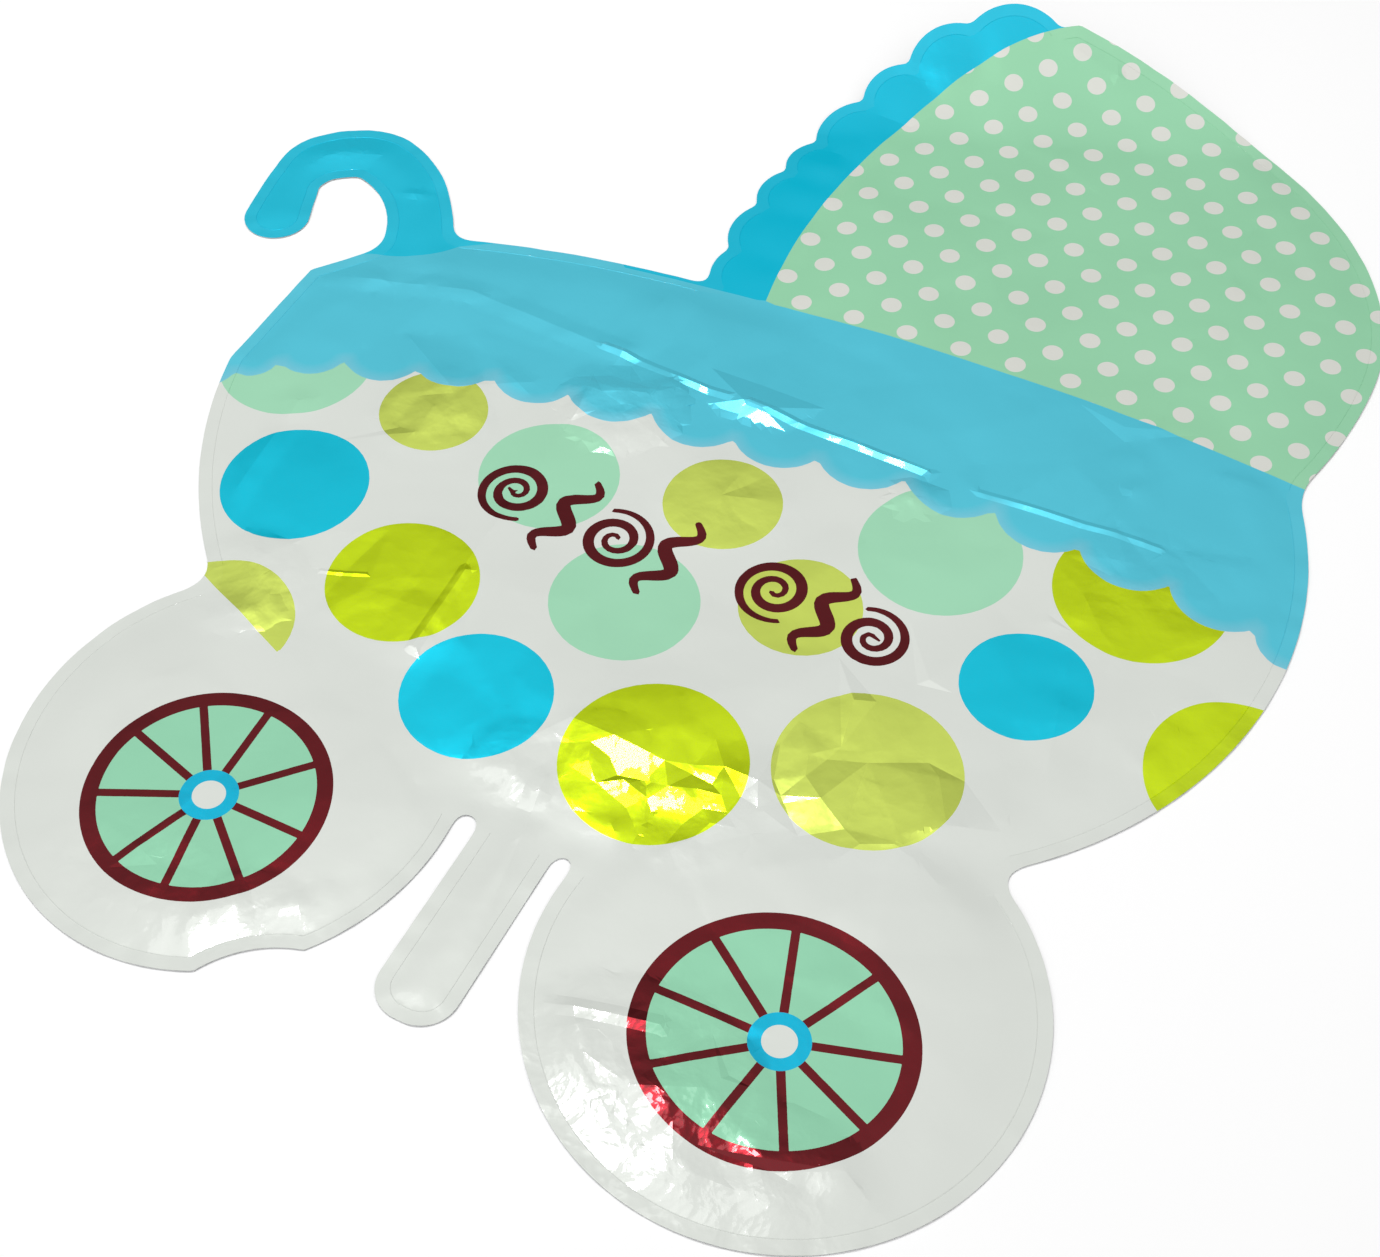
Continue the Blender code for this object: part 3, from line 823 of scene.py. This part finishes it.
def front_height(x, y):
    """Height of the front film's underside above the table."""
    depth = carriage_depth(x, y)
    inside = np.maximum(depth - SEAL_WIDTH, 0.0)
    free = np.minimum(inside / FREE_RUN, 1.0)
    height = (AIR_HEIGHT + SWELL_HEIGHT * swell(x, y)) * (1 - np.exp(-inside / AIR_RUN))
    broad, middling, fine = (net.height(x, y) for net in scattered_nets)
    for points, ridge_height, half_width in CREASES:
        away = np.minimum(line_distance(x, y, points) / half_width, 1.0)
        evenness = CREASE_EVENNESS + (1 - CREASE_EVENNESS) * middling
        height += free * ridge_height * evenness * (1 - away)
    height += free * (BROAD_HEIGHT * broad + MIDDLE_HEIGHT * middling)
    crumpled = sum(share * net for share, net in zip(CRUMPLE_SHARES, (broad, middling, fine)))
    height += free * (CRUMPLE_SCALE * crinkle_share(x, y) * crumpled + facet_net.height(x, y))
    height += pucker(x, y, depth)
    return curl(x, y) + FILM_THICKNESS + FILM_GAP + height


# %% [markdown]
# ## The two films
#
# A film is cut into triangles in the flat plan and then raised. The triangles are small where
# the film is crumpled and larger elsewhere, which keeps the mesh light. Blender can triangulate
# any set of points and keep chosen lines as edges: here the rim, the seal, every fold and the
# narrow lines of the print. A fold stays sharp only if its triangles meet along it.

# %% Points of the plan
LATTICE = 0.0062
FINE_LATTICE = 0.0038
LATTICE_ROOM = 0.0012
RIM_ROOM_SHARE = 0.45
FREE_FILM_START = 1.3 * SEAL_WIDTH
LINE_SPACING = 0.0020
LINE_JUMP = 0.0060
WIDE_CREASE = 0.0150
LOWEST_FACET = 0.00001
EDGE_ROOM = 0.0003
HUB_STEPS = 60
LOBE_PRINT_REACH = (-0.066, 0.006)
BACK_LATTICE = 0.0120


def lattice(spacing):
    """Staggered rows of points inside the rim."""
    x, y = staggered_rows(spacing)
    keep = carriage_depth(x, y) > RIM_ROOM_SHARE * spacing
    return x[keep], y[keep]


def crumpled_or_creased(x, y):
    """True where the film needs the finer triangles."""
    near = [crinkle_share(x, y) > 0.0]
    for points, _, half_width in CREASES:
        if half_width < WIDE_CREASE:
            near.append(line_distance(x, y, points) < half_width)
    return np.any(near, axis=0)


def free_film(x, y):
    """True a little way inside the seal."""
    return carriage_depth(x, y) > FREE_FILM_START


def crumpled(x, y):
    """True where free film is crumpled."""
    return free_film(x, y) & (crinkle_share(x, y) > 0.0)


def stroke_lines(paths):
    """Middle line of each thin line of the print, and a line just outside each of its edges."""
    lines = []
    for path in paths:
        step = max(round(LINE_SPACING / math.dist(path[0, :2], path[1, :2])), 1)
        run = np.gradient(path[:, :2], axis=0)
        run /= np.hypot(*run.T)[:, None]
        side = np.column_stack((-run[:, 1], run[:, 0])) * (path[:, 2:] + EDGE_ROOM)
        for line in (path[:, :2], path[:, :2] + side, path[:, :2] - side):
            lines.append(np.vstack((line[:-1:step], line[-1:])))
    return lines


def edge_lines():
    """Lines just inside and outside the small circles and the straight edge of the print."""
    turn = np.linspace(0.0, 2 * math.pi, HUB_STEPS)
    round_trip = np.column_stack((np.cos(turn), np.sin(turn)))
    lines = []
    for wheel in WHEELS:
        for radius in (HUB_RADIUS, HUB_CENTRE_RADIUS):
            for room in (-EDGE_ROOM, EDGE_ROOM):
                lines.append(wheel["hub"] + round_trip * (radius + room))
    point, heading = LOBE_PRINT_LINE
    run = np.array((math.cos(math.radians(heading)), math.sin(math.radians(heading))))
    along = point + np.arange(*LOBE_PRINT_REACH, LINE_SPACING)[:, None] * run
    return lines + [along + (-run[1] * room, run[0] * room) for room in (-EDGE_ROOM, EDGE_ROOM)]


def free_runs(line):
    """Parts of a line that lie inside the seal."""
    keep = free_film(*line.T)
    cuts = np.flatnonzero(np.diff(keep)) + 1
    runs = zip(np.split(line, cuts), np.split(keep, cuts))
    return [run for run, kept in runs if kept[0] and len(run) > 1]


def crease_lines():
    """Top and both feet of each fold, in short steps."""
    lines = []
    for points, _, half_width in CREASES:
        top = even_path(np.array(points), FINE_LATTICE)
        run = np.gradient(top, axis=0)
        side = np.column_stack((-run[:, 1], run[:, 0])) / np.hypot(*run.T)[:, None] * half_width
        lines += free_runs(top) + free_runs(top + side) + free_runs(top - side)
    return lines


def seal_runs():
    """The seal line, cut where it jumps."""
    gaps = np.hypot(*np.diff(seal_line, axis=0).T)
    return np.split(seal_line, np.flatnonzero(gaps > LINE_JUMP) + 1)


def fold_lines():
    """Folds of all nets: the finer ones only where the film is crumpled."""
    lines = broad_net.folds(LATTICE, free_film)
    lines += middle_net.folds(FINE_LATTICE, crumpled)
    lines += fine_net.folds(FINE_LATTICE, crumpled)
    facets = facet_net.folds(FINE_LATTICE, free_film)
    return lines + [line for line in facets if facet_net.height(*line.T).max() > LOWEST_FACET]


def front_points(lines):
    """Points of the front film between its lines, finer where it is crumpled."""
    coarse_x, coarse_y = lattice(LATTICE)
    coarse = ~crumpled_or_creased(coarse_x, coarse_y)
    fine_x, fine_y = lattice(FINE_LATTICE)
    fine = crumpled_or_creased(fine_x, fine_y)
    x = np.concatenate((coarse_x[coarse], fine_x[fine]))
    y = np.concatenate((coarse_y[coarse], fine_y[fine]))
    tree = tree_of(np.vstack(lines))
    clear = np.array([tree.find((*point, 0.0))[2] > LATTICE_ROOM for point in zip(x, y)])
    return np.column_stack((x[clear], y[clear]))


def cut_plan(inner, lines):
    """Triangulate the rim, the points inside it, and lines that have to stay edges."""
    parts = [rim, inner, *lines]
    edges = [(index, (index + 1) % len(rim)) for index in range(len(rim))]
    first = len(rim) + len(inner)
    for line in lines:
        edges += [(first + index, first + index + 1) for index in range(len(line) - 1)]
        first += len(line)
    points = [Vector(point) for point in np.vstack(parts)]
    corners, _, faces, *_ = delaunay_2d_cdt(points, edges, [], TRIANGLES_INSIDE, TINY)
    return np.array([tuple(corner) for corner in corners]), np.array(faces)


kept_lines = stroke_lines(maroon_lines) + edge_lines()
kept_lines += crease_lines() + seal_runs() + fold_lines()
front_plan, front_triangles = cut_plan(front_points(kept_lines), kept_lines)
back_plan, back_triangles = cut_plan(np.column_stack(lattice(BACK_LATTICE)), [])
print(f"front film: {len(front_plan)} points, {len(front_triangles)} triangles a side")


# %% Raise a plan to a closed sheet
SHARP_FOLD = 5.0


def double_areas(plan, triangles):
    """Twice the area of each triangle, negative where it turns clockwise."""
    a, b, c = (plan[triangles[:, corner]].T for corner in range(3))
    return (b[0] - a[0]) * (c[1] - a[1]) - (b[1] - a[1]) * (c[0] - a[0])


def closed_sheet(name, plan, triangles, underside):
    """Sheet with a top, an underside and a narrow edge round the rim."""
    turned = double_areas(plan, triangles) < 0
    triangles = np.where(turned[:, None], triangles[:, ::-1], triangles)
    count = len(plan)
    place = plan - middle
    low = np.column_stack((place, underside))
    high = np.column_stack((place, underside + FILM_THICKNESS))
    directed = np.vstack([triangles[:, [i, (i + 1) % 3]] for i in range(3)])
    keys = directed[:, 0] * count + directed[:, 1]
    opposite = directed[:, 1] * count + directed[:, 0]
    edge = directed[~np.isin(keys, opposite)]
    sides = np.column_stack((edge[:, 0], edge[:, 1], edge[:, 1] + count, edge[:, 0] + count))
    faces = [*map(tuple, triangles[:, ::-1])]
    faces += map(tuple, triangles + count)
    faces += map(tuple, sides)
    mesh = bpy.data.meshes.new(name)
    mesh.from_pydata(np.vstack((low, high)), [], [tuple(map(int, face)) for face in faces])
    mesh.validate()
    mesh.shade_smooth()
    mesh.set_sharp_from_angle(angle=math.radians(SHARP_FOLD))
    return placed(name, mesh)


front_rise = front_height(*front_plan.T)
front_film = closed_sheet("printed_front_film", front_plan, front_triangles, front_rise)
back_rise = curl(*back_plan.T) + pucker(*back_plan.T, carriage_depth(*back_plan.T))
back_film = closed_sheet("plain_back_film", back_plan, back_triangles, back_rise)
store_plates(front_film.data, front_plan, 2)

# %% [markdown]
# ## Finishes
#
# The film is a mirror under coloured inks. White and mint are nearly opaque inks, so little but
# the clear film above them shines. Lime and maroon are transparent inks: the metal shows
# through, and the colour comes from what the metal reflects. The blues lie in between. One
# material does it all: each plate sets its own colour and its own share of metal.


# %% Node helpers
def linear(red, green, blue):
    """Screen colour, 0 to 255, as the linear colour that shaders use."""
    def channel(value):
        value /= 255
        return value / 12.92 if value <= 0.04045 else ((value + 0.055) / 1.055) ** 2.4

    return (channel(red), channel(green), channel(blue), 1.0)


class Recipe:
    """A material under construction: short calls that add and link nodes."""

    def __init__(self, name):
        self.material = bpy.data.materials.new(name)
        self.material.use_nodes = True
        self.tree = self.material.node_tree
        self.shader = self.tree.nodes["Principled BSDF"]

    def put(self, socket, value):
        """Link a socket, or set its value."""
        if isinstance(value, bpy.types.NodeSocket):
            self.tree.links.new(value, socket)
        else:
            socket.default_value = value

    def node(self, kind, *values, **settings):
        """New node with its settings and its inputs in order."""
        made = self.tree.nodes.new(kind)
        for key, value in settings.items():
            setattr(made, key, value)
        for socket, value in zip(made.inputs, values):
            self.put(socket, value)
        return made

    def math(self, operation, *values):
        """Result of a sum on numbers."""
        return self.node("ShaderNodeMath", *values, operation=operation).outputs[0]

    def vector(self, operation, *values):
        """Result of a sum on vectors."""
        made = self.node("ShaderNodeVectorMath", *values, operation=operation)
        return made.outputs["Value" if operation in ("DOT_PRODUCT", "LENGTH") else "Vector"]

    def scaled(self, vector, factor):
        """Vector times a number."""
        made = self.node("ShaderNodeVectorMath", vector, operation="SCALE")
        self.put(made.inputs["Scale"], factor)
        return made.outputs[0]

    def plate(self, name):
        """Depth of one plate of the print."""
        return self.node("ShaderNodeAttribute", attribute_name=name).outputs["Fac"]

    def inked(self, name):
        """1 where a plate has ink, else 0."""
        return self.math("GREATER_THAN", self.plate(name), 0.0)

    def mix(self, share, below, above):
        """Colour between two colours: a mix node has its colours on sockets 6 and 7."""
        made = self.node("ShaderNodeMix", share, data_type="RGBA")
        self.put(made.inputs[6], below)
        self.put(made.inputs[7], above)
        return made.outputs[2]

    def blend(self, share, below, above):
        """Number between two numbers: a mix node has its numbers on sockets 2 and 3."""
        made = self.node("ShaderNodeMix", share, data_type="FLOAT")
        self.put(made.inputs[2], below)
        self.put(made.inputs[3], above)
        return made.outputs[0]

    def ramp(self, value, low, high, to_low=0.0, to_high=1.0):
        """Number mapped from one range to another, and held at its ends."""
        return self.node("ShaderNodeMapRange", value, low, high, to_low, to_high).outputs[0]

    def noise(self, place, scale):
        """Soft clouds."""
        made = self.node("ShaderNodeTexNoise", place)
        self.put(made.inputs["Scale"], scale)
        return made.outputs[0]


# %% Canopy spots
SPOT_RADIUS = 0.0059
SPOT_START = (0.0820, 0.5513)
SPOT_STEP_A = np.array((0.01537, 0.01844))
SPOT_STEP_B = np.array((0.01691, -0.01676))


def spotted(recipe, place):
    """1 inside a spot of the canopy's lattice, else 0."""
    steps = np.column_stack((SPOT_STEP_A, SPOT_STEP_B))
    start = (*np.subtract(SPOT_START, middle), 0.0)
    offset = recipe.vector("SUBTRACT", place, start)
    flat = recipe.vector("MULTIPLY", offset, (1.0, 1.0, 0.0))
    sides = []
    for row, step in zip(np.linalg.inv(steps), steps.T):
        count = recipe.vector("DOT_PRODUCT", flat, (*row, 0.0))
        rest = recipe.math("SUBTRACT", count, recipe.math("ROUND", count))
        sides.append(recipe.scaled((*step, 0.0), rest))
    away = recipe.vector("LENGTH", recipe.vector("ADD", *sides))
    return recipe.math("LESS_THAN", away, SPOT_RADIUS)


# %% Inks
WHITE = linear(213, 217, 211)
MINT = linear(156, 212, 178)
WHEEL_MINT = linear(143, 204, 170)
CANOPY_MINT = linear(146, 205, 166)
LIME = linear(219, 246, 6)
PALE_LIME = linear(225, 243, 108)
DOT_BLUE = linear(0, 207, 235)
HUB_BLUE = linear(0, 174, 208)
BAND_BLUE = linear(88, 204, 226)
BAND_EDGE = linear(122, 206, 226)
TRIM_BLUE = linear(0, 182, 211)
HANDLE_BLUE = linear(34, 203, 232)
MAROON = linear(108, 0, 14)
SPOT_WHITE = linear(212, 213, 206)
BAND_FADE = 0.008
SEAL_TINT = 0.015
SEAL_EDGE = 0.0004
CLOUD_SCALE = 9.0
CLOUD_RANGE = (0.3, 0.7)
CLOUD_TONES = (0.97, 1.02)
OPAQUE_METAL = 0.05
INK_ROUGHNESS = 0.34
METAL_ROUGHNESS = 0.16
COAT_WEIGHT = 0.6
COAT_ROUGHNESS = 0.05


def print_material():
    """Printed front film."""
    recipe = Recipe("printed_film")
    place = recipe.node("ShaderNodeTexCoord").outputs["Object"]
    depth = recipe.plate("plate_band")
    band = recipe.mix(recipe.ramp(depth, 0.0, BAND_FADE), BAND_EDGE, BAND_BLUE)
    canopy = recipe.mix(spotted(recipe, place), CANOPY_MINT, SPOT_WHITE)
    colour, metal = WHITE, OPAQUE_METAL
    for name, ink, metallic in (
        ("plate_mint", MINT, 0.08),
        ("plate_lime", LIME, 0.70),
        ("plate_pale_lime", PALE_LIME, 0.65),
        ("plate_blue", DOT_BLUE, 0.50),
        ("plate_wheel", WHEEL_MINT, 0.08),
        ("plate_maroon", MAROON, 0.90),
        ("plate_hub", HUB_BLUE, 0.40),
        ("plate_hub_centre", WHITE, OPAQUE_METAL),
        ("plate_band", band, 0.30),
        ("plate_canopy", canopy, OPAQUE_METAL),
        ("plate_trim", TRIM_BLUE, 0.12),
        ("plate_handle", HANDLE_BLUE, 0.35),
    ):
        here = recipe.inked(name)
        colour = recipe.mix(here, colour, ink)
        metal = recipe.blend(here, metal, metallic)
    depth = recipe.plate("rim_depth")
    sealed = recipe.ramp(depth, SEAL_WIDTH - SEAL_EDGE, SEAL_WIDTH, SEAL_TINT, 0.0)
    colour = recipe.mix(sealed, colour, WHITE)
    shade = recipe.ramp(recipe.noise(place, CLOUD_SCALE), *CLOUD_RANGE, *CLOUD_TONES)
    tone = recipe.node("ShaderNodeHueSaturation")
    recipe.put(tone.inputs["Value"], shade)
    recipe.put(tone.inputs["Color"], colour)
    shader = recipe.shader
    recipe.put(shader.inputs["Base Color"], tone.outputs[0])
    recipe.put(shader.inputs["Metallic"], metal)
    roughness = recipe.blend(metal, INK_ROUGHNESS, METAL_ROUGHNESS)
    recipe.put(shader.inputs["Roughness"], roughness)
    shader.inputs["Specular IOR Level"].default_value = 0.0
    shader.inputs["Coat Weight"].default_value = COAT_WEIGHT
    shader.inputs["Coat Roughness"].default_value = COAT_ROUGHNESS
    film_grain(recipe, place)
    return recipe.material


GRAIN_WANDER = (0.02, 0.02, 0.0)
GRAIN_WANDER_SCALE = 30.0
GRAIN_SCALE = 75.0
GRAIN_DETAIL = 2.0
GRAIN_FULL_CRINKLE = 0.6
GRAIN_AMOUNTS = (0.15, 1.0)
GRAIN_STRENGTH = 0.35
GRAIN_HEIGHT = 0.0007


def film_grain(recipe, place):
    """Fine creases that are too small to model, as a bump: cones with sharp valleys between."""
    bent = recipe.scaled(GRAIN_WANDER, recipe.noise(place, GRAIN_WANDER_SCALE))
    cells = recipe.node("ShaderNodeTexVoronoi", feature="F1")
    recipe.put(cells.inputs["Vector"], recipe.vector("ADD", place, bent))
    recipe.put(cells.inputs["Scale"], GRAIN_SCALE)
    recipe.put(cells.inputs["Detail"], GRAIN_DETAIL)
    amount = recipe.ramp(recipe.plate("crinkle"), 0.0, GRAIN_FULL_CRINKLE, *GRAIN_AMOUNTS)
    height = recipe.math("MULTIPLY", cells.outputs["Distance"], amount)
    bump = recipe.node("ShaderNodeBump")
    recipe.put(bump.inputs["Strength"], GRAIN_STRENGTH)
    recipe.put(bump.inputs["Distance"], GRAIN_HEIGHT)
    recipe.put(bump.inputs["Height"], height)
    recipe.put(recipe.shader.inputs["Normal"], bump.outputs[0])
    recipe.put(recipe.shader.inputs["Coat Normal"], bump.outputs[0])


DARK_SILVER = linear(196, 198, 200)
LIGHT_SILVER = linear(222, 223, 224)
SILVER_METAL = 0.9
SILVER_CLOUD_SCALE = 40.0
SILVER_ROUGHNESS = (0.16, 0.28)


def silver_material():
    """Plain back film."""
    recipe = Recipe("plain_film")
    place = recipe.node("ShaderNodeTexCoord").outputs["Object"]
    shade = recipe.ramp(recipe.noise(place, SILVER_CLOUD_SCALE), *CLOUD_RANGE)
    silver = recipe.mix(shade, DARK_SILVER, LIGHT_SILVER)
    recipe.put(recipe.shader.inputs["Base Color"], silver)
    recipe.shader.inputs["Metallic"].default_value = SILVER_METAL
    recipe.put(recipe.shader.inputs["Roughness"], recipe.blend(shade, *SILVER_ROUGHNESS))
    film_grain(recipe, place)
    return recipe.material


front_film.data.materials.append(print_material())
back_film.data.materials.append(silver_material())
print("nodes in the print:", len(front_film.data.materials[0].node_tree.nodes))

# %% [markdown]
# ## The seal's bead
#
# The hot bar that seals the two films leaves a fine raised line inside the rim. It follows a
# path, so Geometry Nodes make it: the seal line becomes a curve, and a small circle is swept
# along it. The plates of the print are stored on the path too, and the nodes carry them to the
# bead, so the bead has the colour of the film that it lies on.

# %% Bead path
BEAD_RADIUS = 0.00018
BEAD_SIDES = 6


def bead_path():
    """Mesh of edges along the seal, open where the seal line jumps, with the print's plates."""
    height = front_height(*seal_line.T) + FILM_THICKNESS
    mesh = bpy.data.meshes.new("seal_path")
    gaps = np.hypot(*(np.roll(seal_line, -1, axis=0) - seal_line).T)
    edges = [(i, (i + 1) % len(seal_line)) for i in np.flatnonzero(gaps < LINE_JUMP).tolist()]
    mesh.from_pydata(np.column_stack((seal_line - middle, height)), edges, [])
    store_plates(mesh, seal_line, 1)
    return placed("seal_path", mesh)


# %% Bead tree
def bead_tree():
    """Sweep a small circle along the edges of a mesh."""
    tree = bpy.data.node_groups.new("sealing_bead", "GeometryNodeTree")
    tree.interface.new_socket("Path", in_out="INPUT", socket_type="NodeSocketGeometry")
    for name, kind in (("Bead Radius", "Float"), ("Sides", "Int"), ("Film", "Material")):
        tree.interface.new_socket(name, in_out="INPUT", socket_type=f"NodeSocket{kind}")
    tree.interface.new_socket("Bead", in_out="OUTPUT", socket_type="NodeSocketGeometry")
    given, curve, circle, sweep, realize, finish, result = (
        tree.nodes.new(kind)
        for kind in (
            "NodeGroupInput",
            "GeometryNodeMeshToCurve",
            "GeometryNodeCurvePrimitiveCircle",
            "GeometryNodeCurveToMesh",
            "GeometryNodeRealizeInstances",
            "GeometryNodeSetMaterial",
            "NodeGroupOutput",
        )
    )
    for start, end in (
        (given.outputs["Path"], curve.inputs["Mesh"]),
        (given.outputs["Bead Radius"], circle.inputs["Radius"]),
        (given.outputs["Sides"], circle.inputs["Resolution"]),
        (curve.outputs["Curve"], sweep.inputs["Curve"]),
        (circle.outputs["Curve"], sweep.inputs["Profile Curve"]),
        (sweep.outputs["Mesh"], realize.inputs["Geometry"]),
        (realize.outputs["Geometry"], finish.inputs["Geometry"]),
        (given.outputs["Film"], finish.inputs["Material"]),
        (finish.outputs["Geometry"], result.inputs["Bead"]),
    ):
        tree.links.new(start, end)
    return tree


def made_by_nodes(source, tree, name, **values):
    """Plain mesh object from a source object and a node tree with its inputs set."""
    modifier = source.modifiers.new(name, "NODES")
    modifier.node_group = tree
    for item in tree.interface.items_tree:
        key = item.name.lower().replace(" ", "_")
        if key in values:
            modifier[item.identifier] = values[key]
    depsgraph = bpy.context.evaluated_depsgraph_get()
    mesh = bpy.data.meshes.new_from_object(source.evaluated_get(depsgraph), depsgraph=depsgraph)
    bpy.data.objects.remove(source)
    return placed(name, mesh)


seal_bead = made_by_nodes(
    bead_path(),
    bead_tree(),
    "seal_bead",
    bead_radius=BEAD_RADIUS,
    sides=BEAD_SIDES,
    film=front_film.data.materials[0],
)
seal_bead.data.shade_smooth()
print(f"seal bead: {len(seal_bead.data.polygons)} faces")

# %% [markdown]
# ## Table, light and camera
#
# A mirror shows what stands round it, so the room matters as much as the film. The sky here is
# a soft ramp from dim to bright, and two square lamps overhead give the folds their white glints.

# %% Table
TABLE_SIZE = 6.0
TABLE_DROP = 0.0004
TABLE_PAINT = (0.97, 0.97, 0.97, 1.0)
TABLE_ROUGHNESS = 0.7
bpy.ops.mesh.primitive_plane_add(size=TABLE_SIZE, location=(0.0, 0.0, -TABLE_DROP))
table = bpy.context.active_object
table.name = "table"
table_recipe = Recipe("pale_table")
table_recipe.shader.inputs["Base Color"].default_value = TABLE_PAINT
table_recipe.shader.inputs["Roughness"].default_value = TABLE_ROUGHNESS
table.data.materials.append(table_recipe.material)

# %% Light
# A pale room: dim low down behind the table, bright above and behind the camera.
BRIGHT_DIRECTION = Vector((0.10, -0.45, 0.89)).normalized()
BRIGHTEST = 1.22
DIMMEST = 0.12
DIM_BELOW = 0.10
world = bpy.data.worlds.new("soft_room")
bpy.context.scene.world = world
world.use_nodes = True
room = world.node_tree
direction = room.nodes.new("ShaderNodeTexCoord").outputs["Generated"]
facing = room.nodes.new("ShaderNodeVectorMath")
facing.operation = "DOT_PRODUCT"
facing.inputs[1].default_value = BRIGHT_DIRECTION
room.links.new(direction, facing.inputs[0])
glow = room.nodes.new("ShaderNodeMapRange")
for socket, value in zip(glow.inputs[1:5], (DIM_BELOW, 1.0, DIMMEST, BRIGHTEST)):
    socket.default_value = value
room.links.new(facing.outputs["Value"], glow.inputs["Value"])
room.links.new(glow.outputs[0], room.nodes["Background"].inputs["Strength"])
room.nodes["Background"].inputs["Color"].default_value = (1.0, 1.0, 1.0, 1.0)


# Lamps, as (name, place, size, power).
LAMPS = (
    ("overhead_panel", (-0.50, -0.05, 2.09), 0.86, 4.8),
    ("overhead_lamp", (-0.50, 0.08, 2.05), 0.35, 11.0),
)


def softbox(name, place, size, power):
    """Square area light aimed at the middle of the table."""
    light = bpy.data.lights.new(name, "AREA")
    light.shape = "SQUARE"
    light.size = size
    light.energy = power
    lamp = placed(name, light)
    lamp.location = place
    lamp.rotation_euler = (-Vector(place)).to_track_quat("-Z", "Y").to_euler()


for lamp_row in LAMPS:
    softbox(*lamp_row)

# %% Camera
LENS_MM = 56.18
SENSOR_MM = 36.0
CAMERA_PLACE = (0.3193, -0.4164)
CAMERA_HEIGHT = 0.850
CAMERA_TILT = 38.893
CAMERA_TURN = 26.9
NEAREST_SEEN = 0.01
camera_data = bpy.data.cameras.new("camera")
camera_data.lens = LENS_MM
camera_data.sensor_width = SENSOR_MM
camera_data.clip_start = NEAREST_SEEN
camera = placed("camera", camera_data)
camera.location = (*np.subtract(CAMERA_PLACE, middle), CAMERA_HEIGHT)
camera.rotation_euler = (math.radians(CAMERA_TILT), 0.0, math.radians(CAMERA_TURN))
bpy.context.scene.camera = camera
bpy.context.scene.view_settings.view_transform = "Standard"

# %% [markdown]
# ## Attach the pieces
#
# Each film is attached to the body that it moves with, and the solid that it stands for is hidden.
# The seal's bead moves with the same body.

# %% Name the pieces' places
for piece, node, slot in (
    (front_film, "front_film", "printed_film"),
    (back_film, "back_film", "plain_film"),
):
    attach(piece, "root")
    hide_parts(node)
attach(seal_bead, "root")
